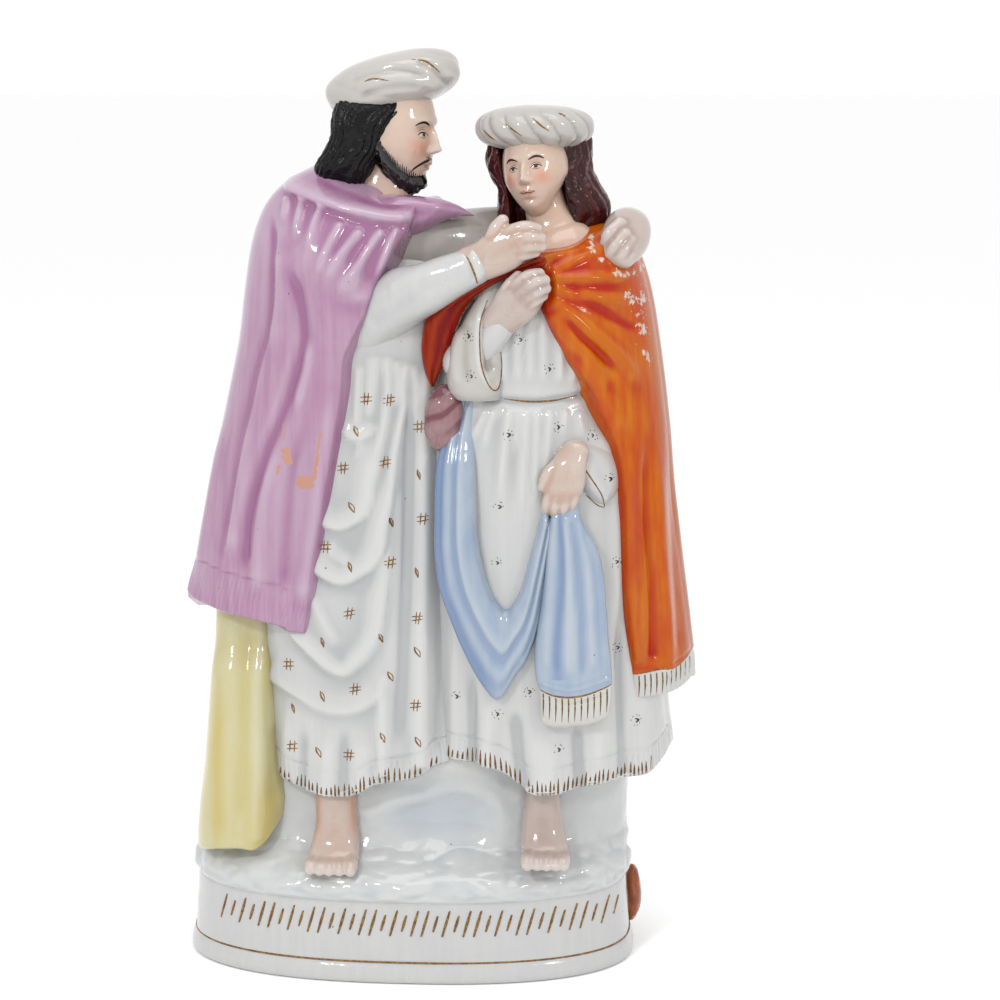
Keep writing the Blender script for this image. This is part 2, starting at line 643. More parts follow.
def painted(name, first, second, roughness, metallic=0.0, scale=900):
    # a thin overglaze colour that thins out in places
    material, tree, shader, place = newFinish(name)
    thin = noiseAt(tree, place, scale, (1, 1, 1), 4.0)
    colour = blendColours(tree, between(tree, thin, 0.4, 0.66), seen(*first), seen(*second))
    bump = addNode(tree, "Bump", None, Height=thin, Strength=0.2, Distance=0.0002).outputs[0]
    finish = {"Base Color": colour, "Roughness": roughness, "Metallic": metallic, "Normal": bump}
    for key, value in finish.items():
        feed(tree, shader.inputs[key], value)
    return material


gilding = painted("gilding", (128, 98, 52), (168, 138, 92), 0.3, 0.2)
brownGilding = painted("brown gilding", (104, 84, 52), (146, 120, 76), 0.3)
darkPaint = painted("dark paint", (44, 36, 36), (66, 54, 54), 0.25)
browPaint = painted("brow paint", (84, 42, 46), (110, 66, 66), 0.25)
eyePaint = painted("eye paint", (62, 60, 72), (92, 90, 104), 0.2)
lipPaint = painted("lip paint", (208, 140, 122), (220, 160, 142), 0.2)
greenPaint = painted("green paint", (56, 72, 58), (104, 112, 92), 0.25)
hairPaint = painted("hair stroke paint", (30, 30, 32), (50, 50, 54), 0.25)
lumpLook = glazed("lump enamel", {
    "base": (156, 96, 36), "streak": (188, 120, 40), "drift": (122, 66, 28), "driftScale": 160,
    "driftShare": 0.9, "streakStretch": (1, 1, 0.2), "speckSize": 0.0,
})
print("finishes ready")


# Plinth and ground

plinth = {
    "halfWidth": 87.9, "halfDepth": 47.9, "square": 2.4, "levels": 46, "front": 160, "back": 70,
    "profile": [[0, -1.7], [0.6, -0.5], [1.8, 0], [4, -0.1], [6, -0.7], [7.6, -1.5], [9.4, -1.8], [13, -2],
                [19.5, -2.4], [25, -2.9], [29, -3.1], [31.6, -3.7], [34, -6]],
}


def plinthOval(z, turns):
    # the plinth's oval at a height: the profile gives what is added to its half sizes there
    profile = throughRows(plinth["profile"], 200)
    inset = np.interp(z, profile[:, 0], profile[:, 1])[:, None]
    power = 2 / plinth["square"]
    cosine, sine = np.cos(turns)[None, :], np.sin(turns)[None, :]
    x = (plinth["halfWidth"] + inset) * np.sign(cosine) * np.abs(cosine) ** power
    y = (plinth["halfDepth"] + inset) * np.sign(sine) * np.abs(sine) ** power
    return np.stack(np.broadcast_arrays(x, y, np.asarray(z, float)[:, None]), -1)


def makePlinth():
    turns = frontTurns(plinth["front"], plinth["back"])
    heights = throughRows(plinth["profile"], plinth["levels"])[:, 0]
    grid = plinthOval(heights, turns)
    low = smoothStep(grid[..., 2], 2, 8)[..., None]
    outward = grid * [1, 1, 0] / np.linalg.norm(grid[..., :2], axis=-1, keepdims=True)
    lift = 0.16 * softNoise(grid, 16, 3) + 0.05 * softNoise(grid, 5, 5)
    grid = grid + outward * lift[..., None] * low
    points, faces, marks = closedGrid(grid, {"crest": lift * 0})
    newPiece("plinth_band", points, faces, whiteGlaze, marks)


ground = {
    "rows": [[29, -82, 82, -42, 42], [31.6, -84.4, 84.4, -45, 45], [34, -85.4, 85.4, -46.2, 46],
             [37, -85.6, 85.8, -45.8, 46], [40, -85.2, 85.6, -43.6, 46], [42.6, -84.6, 85.2, -40, 45],
             [45, -83.8, 85, -35.4, 44], [49, -82.6, 85, -30, 43], [56, -81, 84.8, -27.6, 42],
             [66, -79.5, 85, -26.6, 39], [77, -78, 85, -25.6, 36], [84, -73, 82, -25.6, 27],
             [92, -70, 80, -25, 24]],
    "levels": 92, "front": 250, "back": 50,
    # the rim of the smooth hollow between the feet
    "folds": [([(-16, 56), (-12.8, 60.4), (-5, 64), (4, 66), (13, 69.4), (21, 70.6), (29, 69.4), (34, 67),
                (36, 64), (37, 56)], 1.3, 3.0, 1.6, 0.1, 0.1)],
}


def cobbles(points, size, seed, stretch):
    # rounded stones: how much nearer the nearest of some random places is than the next one, from 0 to
    # about 1
    random = np.random.default_rng(seed)
    scaled = points / (size * np.array(stretch))
    low, high = scaled.reshape(-1, 3).min(0), scaled.reshape(-1, 3).max(0)
    seeds = random.uniform(low, high, (int(np.prod(np.maximum(high - low, 1)) * 0.9), 3))
    near = np.full(points.shape[:-1], 9.0)
    second = near.copy()
    for spot in seeds:
        away = np.linalg.norm(scaled - spot, axis=-1)
        second = np.minimum(second, np.maximum(near, away))
        near = np.minimum(near, away)
    return smoothStep(second - near, 0, 0.55)


def makeGround():
    # ovals with rocks from rounded stones and noise, calmer where a smooth hollow lies between the feet
    # and upwards
    turns = frontTurns(ground["front"], ground["back"])
    grid, outward = ovalRings(ground["rows"], ground["levels"], turns[None, :], plinth["square"])
    rough = smoothStep(grid[..., 2], 31, 34)
    x, z = grid[..., 0], grid[..., 2]
    calm = 1 - 0.8 * smoothStep(z, 46, 54)
    stones = cobbles(grid, 9, 5, (1.25, 0.9, 0.7)) - 0.6
    big = softNoise(grid, 9, 11)
    lift = rough * calm * (1.15 * stones + 0.9 * big + 0.35 * softNoise(grid, 3.2, 13))
    lift += rough * (0.25 * softNoise(grid, 7, 15) + 0.1 * softNoise(grid, 2.4, 14))
    inFront = np.sin(turns)[None, :] < 0
    lift -= 2.6 * np.exp(-(((x - 13) / 19) ** 4) - ((z - 58) / 9) ** 2) * inFront
    lift += foldLift(x, z, ground["folds"]) * inFront
    lift += 5 * np.exp(-(((x - 14) / 18) ** 4)) * smoothStep(z, 68, 82) * inFront
    lift = softened(lift, 2)
    grid = grid + outward * lift[..., None]
    crest = lift - softened(lift, 30)
    blue = 0.75 * np.exp(-(((x - 14) / 17) ** 2) - ((z - 60) / 8) ** 2) * inFront
    points, faces, marks = closedGrid(grid, {"crest": crest, "tint": blue})
    newPiece("rocky_ground", points, faces, groundGlaze, marks)


title = {"from": -70, "to": 81, "middle": 23.5, "strokes": 39, "tall": 9.4, "short": 5.6, "width": 1.0,
         "proud": 0.4, "sunk": 0.1, "slant": 16}


def makeTitleStrokes():
    # slanting rounded bars laid on the band, tall and short by turns, half sunk in it
    bars = []
    for k in range(title["strokes"]):
        x = np.interp(k, [0, title["strokes"] - 1], [title["from"], title["to"]])
        half = (title["short"] if k % 5 in (1, 3) else title["tall"]) / 2
        lean = np.tan(np.radians(title["slant"]))
        along = np.linspace(-half, half, 8)
        z = title["middle"] + along
        px = x + along * lean
        inset = np.interp(z, *np.array(plinth["profile"]).T)
        halfWidth, halfDepth = plinth["halfWidth"] + inset, plinth["halfDepth"] + inset
        y = -halfDepth * (1 - np.abs(px / halfWidth) ** plinth["square"]) ** (1 / plinth["square"])
        path = np.stack([px, y + title["sunk"], z], 1)
        power = plinth["square"] - 1
        slope = -halfDepth / halfWidth * np.abs(px / halfWidth) ** power * np.sign(px)
        slope = slope * (halfDepth / np.abs(y)) ** power
        side = np.stack([np.ones_like(px), -slope, 0 * px], 1)
        side /= np.linalg.norm(side, axis=1, keepdims=True)
        out = np.stack([-side[:, 1], side[:, 0], 0 * px], 1)
        width = title["width"] / 2 * (1 + 0.18 * np.cos(along / half * np.pi))
        across, deep = side * width[:, None], out * (title["proud"] + title["sunk"])
        bars.append(closedGrid(sweep(path, across, deep, sides=12, square=2.4, cap=3)[0])[:2])
    points, faces = joined(bars)
    newPiece("title_strokes", points, faces, gilding)


lump = {"centre": (87, 15, 17), "halves": (3.7, 5, 11.5)}


def makeLump():
    # an uneven egg whose radius is 1 plus noise
    theta = np.linspace(-np.pi / 2, np.pi / 2, 40)[1:-1, None]
    phi = np.linspace(0, 2 * np.pi, 56, endpoint=False)[None, :]
    ball = unitBall(theta, phi)
    ball = ball * (1 + 0.07 * softNoise(ball, 0.5, 8) + 0.03 * softNoise(ball, 0.2, 9))[..., None]
    points, faces, _ = closedGrid(ball * lump["halves"] + lump["centre"])
    newPiece("painted_lump", points, faces, lumpLook)


makePlinth()
makeGround()
makeTitleStrokes()
makeLump()


# Father's dress

yellowDrape = {
    "rows": [[46, -83, -46, -35, 24], [54, -82.8, -45, -34.4, 26], [66, -81.8, -45, -33.6, 28],
             [84, -80.2, -46, -32, 28], [112, -77.4, -47, -29, 26], [128, -76, -47, -22, 22],
             [148, -75, -46, -20, 20]],
    "levels": 128, "front": 96, "back": 24, "square": 2.6,
    "hem": [[-84, 44.4], [-80, 46], [-72.5, 48.4], [-63.2, 49], [-57.4, 48.2], [-53.4, 51], [-50.1, 55],
            [-47.1, 59.6], [-45, 64]],
    "hemBehind": 0, "lip": 1.2, "flutes": (0.6, 9, 0), "uneven": 0.3,
    "folds": [
        ([(-67, 140), (-69, 96), (-72, 50)], 1.1, 4.4, 4.4, 0.1, 0.3),
        ([(-60, 132), (-61, 90), (-63, 56)], -0.8, 2.6, 2.6, 0.1, 0.2),
        ([(-55.5, 140), (-56, 96), (-57, 48)], 1.2, 2.2, 4.2, 0.1, 0.05),
        ([(-78, 130), (-80, 60)], -0.5, 2.4, 2.4), ([(-50.4, 96), (-50, 62)], -0.6, 2.2, 2.2),
    ],
}

robe = {
    "rows": [[74, -54, 32, -37, 30], [92, -55.5, 31, -36, 30], [110, -56.5, 30, -35.4, 30],
             [128, -57, 30, -35.2, 30], [146, -57, 30, -34.8, 30], [164, -57, 30, -34.4, 30],
             [182, -56, 30, -34, 30], [202, -55, 31, -33.4, 30], [228, -53, 31, -31.5, 29],
             [258, -50, 28, -30, 27], [293, -24, 0, -10, 10]],
    "levels": 206, "front": 150, "back": 30, "square": 2.6, "lip": 1.3, "flutes": (1.6, 7, 0.004),
    "hem": [[-57, 78], [-52, 77], [-48.9, 76], [-40.9, 73], [-30.2, 71], [-19.5, 71.3], [-10.9, 75.6],
            [-3, 77.2], [4.1, 78.4], [9, 80.4], [13.2, 83.4], [30, 86]],
    "fringe": {"pitch": 2.1, "tall": 8.2, "deep": 0.5, "scored": 0.45},
    "folds": [
        ([(-15.5, 234), (-15.8, 225), (-16.4, 211)], 1.3, 1.3, 1.5, 0.06, 0.2),
        ([(-9.6, 238), (-10.5, 225.3), (-12, 213)], 1.4, 1.5, 1.5, 0.06, 0.3),
        ([(-5, 238), (-4.4, 226.3), (-5.4, 216), (-7.6, 203), (-9.4, 190)], 1.5, 1.5, 1.6, 0.06, 0.3),
        ([(-1.3, 236), (-0.9, 227.3), (-1.9, 217)], 1.2, 1.2, 1.3, 0.06, 0.4),
        ([(2, 236), (1.2, 226), (1.1, 219), (-0.3, 211), (-2.2, 202), (-3.3, 192), (-4.9, 181)], 1.6, 1.3,
         2.0, 0.06, 0.2),
        ([(5.5, 235), (5.4, 214), (3.6, 200)], 1.0, 1.5, 1.5, 0.08, 0.5),
        ([(10, 236), (8.6, 216), (8.9, 178), (8.4, 150), (7.5, 121), (6.8, 80)], 1.9, 3.0, 3.6, 0.06, 0.02),
        ([(4.6, 222), (3.2, 198), (2.2, 160), (0.6, 125), (-1.4, 90)], -1.5, 2.2, 2.4, 0.1, 0.1),
        ([(15, 232), (14.6, 180), (15, 120), (14, 86)], -0.9, 3, 3, 0.1, 0.05),
        ([(-23, 210.6), (-16.8, 207.2), (-12.1, 209), (-8.1, 213)], 1.5, 4, 1.1, 0.2, 0.3),
        ([(-15.1, 207), (-15.1, 203), (-16.4, 199.6)], 0.7, 1.1, 1.1, 0.2, 0.3),
        ([(-33, 176.4), (-24.5, 173.6), (-18.9, 175), (-14.1, 178.5), (-11.7, 184.2), (-10.3, 191.8),
          (-7.8, 204), (-6, 213)], 1.9, 6, 1.3, 0.06, 0.35),
        ([(-36, 159), (-32.3, 157), (-26.6, 154.1), (-21, 153), (-15.3, 156), (-10.6, 159.4), (-6.8, 166),
          (-5.3, 175), (-3.3, 186), (-1, 202)], 2.3, 7, 1.3, 0.05, 0.4),
        ([(-29.3, 168), (-24, 163), (-18, 160)], 0.9, 3, 1.4, 0.3, 0.3),
        ([(-44, 134.6), (-38.3, 129.4), (-32.7, 124.4), (-27.1, 120), (-21.4, 118.2), (-16.6, 122),
          (-11.3, 128), (-8, 135.7), (-6.5, 146.3), (-5.5, 156), (-4.4, 169),
          (-2, 184)], 2.3, 4.4, 1.6, 0.05, 0.45),
        ([(-33.6, 148), (-31.5, 142.5), (-29.7, 139.2), (-26, 132.5), (-23, 127.6)], 1.0, 2.6, 1.6, 0.15,
         0.3),
        ([(-54, 114), (-45, 110.6), (-38.5, 107.8), (-31.9, 104.4), (-23.3, 103), (-15.7, 104.8),
          (-9.5, 109.4), (-6.6, 115.6), (-6, 126)], 1.4, 6.5, 1.6, 0.05, 0.4),
        ([(-6.8, 120), (-7.3, 102), (-7.4, 78)], 1.5, 1.6, 2.2, 0.2, 0.02),
        ([(-15, 99), (-16, 72)], 1.0, 3.6, 3.6, 0.4, 0.02),
        ([(-21.6, 98), (-22.6, 72)], -0.8, 2, 2, 0.4, 0.02),
        ([(-28, 98), (-29.5, 70)], 1.1, 3.6, 3.6, 0.4, 0.02),
        ([(-37.4, 98), (-39, 72)], -1.0, 2.2, 2.2, 0.4, 0.02),
        ([(-44.4, 104), (-46, 74)], 1.0, 2.8, 2.8, 0.4, 0.02),
    ],
}

pinkCloak = {
    "rows": [[135, -87, 38, -36, 36], [158, -82.5, 36, -37, 36], [187, -76.5, 34, -37, 36],
             [215, -70.2, 32, -37, 35], [240, -64.6, 30, -37.5, 34], [262, -61.4, 28, -38, 33],
             [280, -58.2, 26, -36, 31], [292, -53.5, 22, -30, 28], [300, -46, 15, -24, 22],
             [306, -35, 4, -15, 14]],
    "neck": [[-60, 306], [-35, 306.3], [-30, 305.6], [-25.3, 304], [-18.2, 300.9], [-10.2, 298.6],
             [-5.2, 295.5], [0.6, 294], [4.9, 295.3], [10, 297], [16, 295]],
    "edge": [[128, -36.6], [135, -35.8], [150, -33.3], [164, -31.3], [190.9, -26.1], [208.3, -23.1],
             [224, -20.7], [236, -19.7], [243.6, -16.5], [253, -11.7], [265.4, -6.9], [277, -0.6], [284, 4],
             [293, 7], [300, 8], [306, 4]],
    "side": -1, "backReach": 2.3, "edgeRadius": 2.4, "neckBehind": 0.9,
    "levels": 194, "front": 150, "back": 44, "square": 2.4, "lip": 1.3, "flutes": (1.3, 8, 0.003),
    "hem": [[-92, 147], [-88, 144.6], [-84.1, 143.2], [-76, 142], [-69.3, 140.6], [-53.9, 138.2],
            [-42.8, 136], [-36, 134.4], [40, 134]],
    "hemBehind": 0, "fringe": {"pitch": 1.9, "tall": 14, "deep": 0.32, "scored": 0.55},
    "folds": [
        ([(-46, 301), (-40.6, 299.4), (-21, 292.6), (-2.1, 288.8), (8, 290)], 4.2, 3.4, 2.4, 0.12, 0.15),
        ([(-34, 302.6), (-20, 297), (-6, 292.6), (6, 293)], -1.0, 1.5, 1.5, 0.2, 0.2),
        ([(-0.4, 286), (-4.5, 275.8), (-8.4, 266)], 2.0, 1.4, 1.7, 0.1, 0.4),
        ([(-5.2, 285.5), (-11.8, 275.7), (-19, 262)], 2.1, 1.5, 1.9, 0.1, 0.45),
        ([(-13, 285), (-19.6, 276.8), (-27, 265)], 2.0, 1.5, 2.0, 0.1, 0.45),
        ([(-20.5, 288), (-25.7, 276.6), (-30, 266)], 1.9, 1.5, 1.8, 0.1, 0.45),
        ([(-28, 294), (-30.8, 287), (-33, 276)], 1.8, 1.4, 1.7, 0.1, 0.5),
        ([(-35.8, 296.4), (-37.3, 289), (-38, 279)], 1.7, 1.4, 1.7, 0.1, 0.5),
        ([(-42.3, 296), (-42.8, 285)], 1.5, 1.4, 1.4, 0.1, 0.5),
        ([(-40, 280), (-24, 270), (-13.5, 262.5)], 2.2, 9, 8, 0.3, 0.2),
        ([(-19, 270), (-14.8, 264), (-13.5, 256)], 1.6, 5, 4.6, 0.3, 0.3),
        ([(-48.3, 292), (-48.0, 261), (-50.9, 245.2), (-56, 229), (-63.6, 193.3), (-71.5, 152)], -1.9, 2,
         2.4, 0.08, 0.15),
        ([(-44.5, 280), (-44.6, 256), (-48, 236)], 1.3, 3.4, 3.4, 0.2, 0.3),
        ([(-40.2, 273), (-35.7, 252.4), (-36.6, 238.7), (-42.5, 220), (-50.8, 200), (-58.2, 176),
          (-60.3, 150)], -2.0, 2.4, 3, 0.1, 0.12),
        ([(-33, 246), (-34, 234), (-38.6, 216)], 1.3, 2.6, 2.6, 0.3, 0.3),
        ([(-52, 222), (-60, 196), (-66, 160)], 1.4, 4, 4, 0.3, 0.15),
        ([(-44, 210), (-51, 184), (-54.4, 146)], 1.5, 3.2, 3.4, 0.3, 0.15),
        ([(-24.2, 228), (-30, 190), (-37, 142)], 1.5, 4, 3.4, 0.2, 0.1),
        ([(-34, 222), (-41, 190), (-45, 146)], -1.1, 3, 3, 0.3, 0.15),
        ([(-68, 214), (-76, 176), (-81, 146)], 1.2, 3, 3, 0.3, 0.15),
    ],
}


def patchMark(x, z, spots):
    # soft marks about 1 at their middles, which the material roughens into torn edges
    mark = np.zeros_like(x)
    for path, width in spots:
        mark = np.maximum(mark, foldLift(x, z, [(path, 1.0, width, width, 0.0001, 0.0001)]))
    return mark


def makeDrape(name, shape, look, marks=None):
    grid, outward, crest = drapeGrid(shape)
    extra = {"crest": crest}
    for key, field in (marks or {}).items():
        extra[key] = field(grid)
    if "lip" in shape:
        grid = withLip(grid, outward, shape["lip"])
        extra = {key: withLipRows(values) for key, values in extra.items()}
    points, faces, filled = closedGrid(grid, extra)
    return newPiece(name, points, faces, look, filled)


def pinkWear(grid):
    x, z = grid[..., 0], grid[..., 2]
    spots = [([(-43.6, 213), (-43, 206)], 0.4), ([(-42.6, 204), (-41.4, 197)], 1.8),
             ([(-45.2, 197), (-46, 193)], 0.6),
             ([(-38.4, 190.4), (-31.8, 191.4)], 2.7), ([(-31.6, 192), (-30.4, 200), (-28.9, 210)], 0.65)]
    return patchMark(x, z, spots) * (grid[..., 1] < 0)


def pinkDepth(grid):
    # deeper pink down the far left edge and in the fringe, where the brush left more colour
    x, z = grid[..., 0], grid[..., 2]
    fringe = (1 - smoothStep(z, 141, 150)) * (0.5 + 0.5 * np.sin(x * 3.1 + 2 * np.sin(x)))
    edge = 1 - smoothStep(x + 0.23 * (z - 135), -84, -72)
    return np.clip(0.55 * fringe + 0.5 * edge, 0, 1) * 0.8


def yellowDepth(grid):
    # streaks of thicker yellow down the left edge, beside the fold and at the right corner
    x, z = grid[..., 0], grid[..., 2]
    left = np.exp(-(((x + 78.5 - 0.05 * (z - 90)) / 2.6) ** 2)) * smoothStep(z, 70, 120)
    lower = np.exp(-(((x + 71) / 3.4) ** 2)) * (1 - smoothStep(z, 92, 120)) * smoothStep(z, 44, 60)
    corner = np.exp(-(((x + 53) / 4) ** 2)) * (1 - smoothStep(z, 62, 84))
    top = np.exp(-(((x + 51) / 2.4) ** 2)) * smoothStep(z, 96, 124)
    return np.clip(0.8 * left + 0.6 * lower + 0.55 * corner + 0.5 * top, 0, 0.9)


makeDrape("yellow_drape", yellowDrape, yellowEnamel, {"tint": yellowDepth})
makeDrape("father_robe", robe, whiteGlaze)
makeDrape("pink_cloak", pinkCloak, pinkEnamel, {"patch": pinkWear, "tint": pinkDepth})


def makeTube(name, stations, rings, look, slot, folds=(), uneven=0.1, marks=None, **options):
    # a tube with folds seen from the front and a faint unevenness
    grid, outward = tube(stations, rings, **options)[:2]
    towards = smoothStep(-outward[..., 1], -0.1, 0.4)
    lift = foldLift(grid[..., 0], grid[..., 2], folds) * towards + uneven * softNoise(grid, 7, 6)
    grid = grid + outward * lift[..., None]
    extra = {"crest": lift - softened(lift, 25)}
    for key, field in (marks or {}).items():
        extra[key] = field(grid)
    points, faces, filled = closedGrid(grid, extra)
    return newPiece(name, points, faces, look, filled)


farShoulder = [[-14, -12, 287, 10, 15], [-4, -15, 287.6, 8.8, 14.4], [3, -16.6, 288.4, 7.6, 12.2],
               [8, -17.8, 289.4, 6.4, 9], [13, -18.2, 290.4, 4.7, 6.2], [19, -17.6, 290.3, 2.6, 3.8],
               [24, -16.6, 289.2, 1.0, 1.8], [26, -16.2, 288.6, 0.4, 0.8]]
farArm = [[-16, -7, 274, 18, 17], [-4, -8, 275.6, 15, 15], [16, -6, 278, 12, 11.6], [38, 6, 281, 10.4, 9.6],
          [62, 8, 282, 9.4, 8.6], [80, -2, 278.4, 8.6, 8]]
nearSleeve = [[-34, -12, 233, 11, 11], [-24, -17, 240, 12, 11.4], [-15, -21.4, 247.4, 12.4, 11.4],
              [-7, -26, 254, 12.2, 11], [2, -32.4, 259.6, 11.2, 10.2], [10, -37.4, 263, 9.6, 9],
              [18, -39.6, 267, 8.4, 8], [24, -40.8, 269.8, 7.5, 7.2], [28.6, -41.4, 271.8, 7, 6.6]]
makeTube("far_sleeve", farArm, 80, sleeveGlaze, "white_glaze", hint=(0, 0, 1), sides=64, uneven=0.25,
         folds=[([(2, 262), (14, 270), (30, 274)], 1.0, 3, 3),
                ([(6, 252), (12, 264), (20, 270)], -0.8, 3, 3)])
makeTube("far_shoulder_of_cloak", farShoulder, 60, pinkEnamel, "pink_enamel", hint=(0, 0, 1), sides=56,
         uneven=0.2,
         folds=[([(-4, 296), (8, 293), (18, 291)], 0.9, 1.6, 1.6),
                ([(-4, 291), (10, 289.4)], -0.6, 1.4, 1.4)],
         marks={"tint": lambda grid: np.full(grid.shape[:2], 0.35),
                "patch": lambda grid: np.zeros(grid.shape[:2])})
makeTube("near_sleeve", nearSleeve, 110, whiteGlaze, "white_glaze", hint=(0, 0, 1), sides=72, cap=8,
         folds=[([(-4, 262), (8, 268), (18, 272)], 0.5, 3, 3),
                ([(-12, 250), (0, 256), (12, 262)], -0.5, 4, 4),
                ([(25.4, 278), (27.6, 272), (28.2, 265)], -0.5, 0.9, 0.9),
                ([(28, 279.4), (30.2, 272), (30.8, 265.6)], 0.6, 1.2, 1.2)])
print("father's dress ready")


# Son's dress

gown = {
    "rows": [[77, 6, 101.5, -40, 31], [92, 6, 100.5, -39.5, 31], [118, 6, 98, -40, 31],
             [150, 6, 94, -40.5, 31], [182, 6, 90, -40.5, 30], [206, 6, 85, -40, 29],
             [222, 7, 80, -37.4, 28], [234, 8, 81, -38.5, 28], [252, 14, 84, -38, 30],
             [266, 24, 86, -33, 28], [275, 34, 80, -22, 22], [280, 42, 68, -14, 14]],
    "levels": 198, "front": 160, "back": 30, "square": 2.5, "lip": 1.3, "flutes": (1.6, 8, 0.004),
    "hem": [[6, 87], [16.3, 86], [28.2, 85], [35, 83.8], [40, 81.8], [44, 78.6], [48.5, 75], [54, 74],
            [60, 75], [65.9, 76.8], [76.6, 79], [84.3, 80.4], [91, 80.6], [96, 82], [100, 85], [102, 88]],
    "fringe": {"pitch": 2.1, "tall": 8.4, "deep": 0.5, "scored": 0.45},
    "folds": [
        ([(38.4, 252), (38.4, 227)], 1.1, 1.5, 1.5), ([(43.7, 254), (43.7, 227)], 1.1, 1.5, 1.5),
        ([(48.5, 256), (48.5, 227)], 1.2, 1.5, 1.5), ([(53, 256), (53.4, 227)], 1.0, 1.4, 1.4),
        ([(59.5, 248), (59.2, 227)], 1.1, 1.6, 1.6), ([(64.4, 242), (64, 227)], 0.9, 1.4, 1.4),
        ([(30, 223.4), (39, 222.4), (51, 221.8), (65, 223.6), (74, 226)], -1.5, 1.7, 1.7, 0.05, 0.1),
        ([(32.7, 219.5), (29, 212), (26.4, 207)], 1.1, 1.4, 1.4, 0.1, 0.4),
        ([(36, 219.7), (33, 212), (31, 204)], 1.1, 1.4, 1.4, 0.1, 0.4),
        ([(41.1, 219.7), (38.6, 200), (37, 180)], 1.3, 1.6, 1.6, 0.05, 0.5),
        ([(44.4, 219.7), (42.6, 200)], 0.8, 1.3, 1.3, 0.1, 0.6),
        ([(47.4, 219.8), (46.2, 200), (45.4, 172)], 1.3, 1.7, 1.7, 0.05, 0.5),
        ([(51, 219.8), (50.7, 194), (50, 176)], 1.2, 1.6, 1.6, 0.05, 0.5),
        ([(55.8, 219.1), (54.8, 205), (54, 190)], 1.1, 1.6, 1.6, 0.05, 0.5),
        ([(61.3, 219.2), (60.4, 209)], 1.0, 1.5, 1.5, 0.1, 0.5),
        ([(66, 218.6), (68, 206)], 0.8, 1.8, 1.8, 0.1, 0.5),
        ([(22, 146), (20, 110), (19.4, 84)], 1.2, 3, 3, 0.4, 0.02),
        ([(27, 124), (26.4, 84)], -1.3, 2, 2, 0.4, 0.02),
        ([(34, 116), (33, 100), (32, 82)], 1.5, 3.2, 3.2, 0.4, 0.02),
        ([(43, 108), (44, 92), (46, 76)], -1.7, 2.2, 2.6, 0.3, 0.02),
        ([(53, 102), (55, 74)], 1.6, 5, 5, 0.5, 0.02),
        ([(66, 102), (67.6, 76)], -1.7, 2.2, 2.2, 0.3, 0.02),
        ([(74, 106), (75, 78)], 1.3, 3.4, 3.4, 0.4, 0.02),
        ([(81.6, 150), (82, 110), (84, 80)], -1.5, 1.8, 2.2, 0.4, 0.02),
        ([(90, 118), (92, 80)], 1.4, 3.4, 3.4, 0.3, 0.02),
        ([(80, 196), (80.6, 160), (79.4, 130)], 1.0, 2.6, 2.6, 0.3, 0.3),
        ([(72, 214), (79, 200), (80.6, 182)], 1.3, 4, 3, 0.3, 0.3),
    ],
}
makeDrape("son_gown", gown, whiteGlaze)

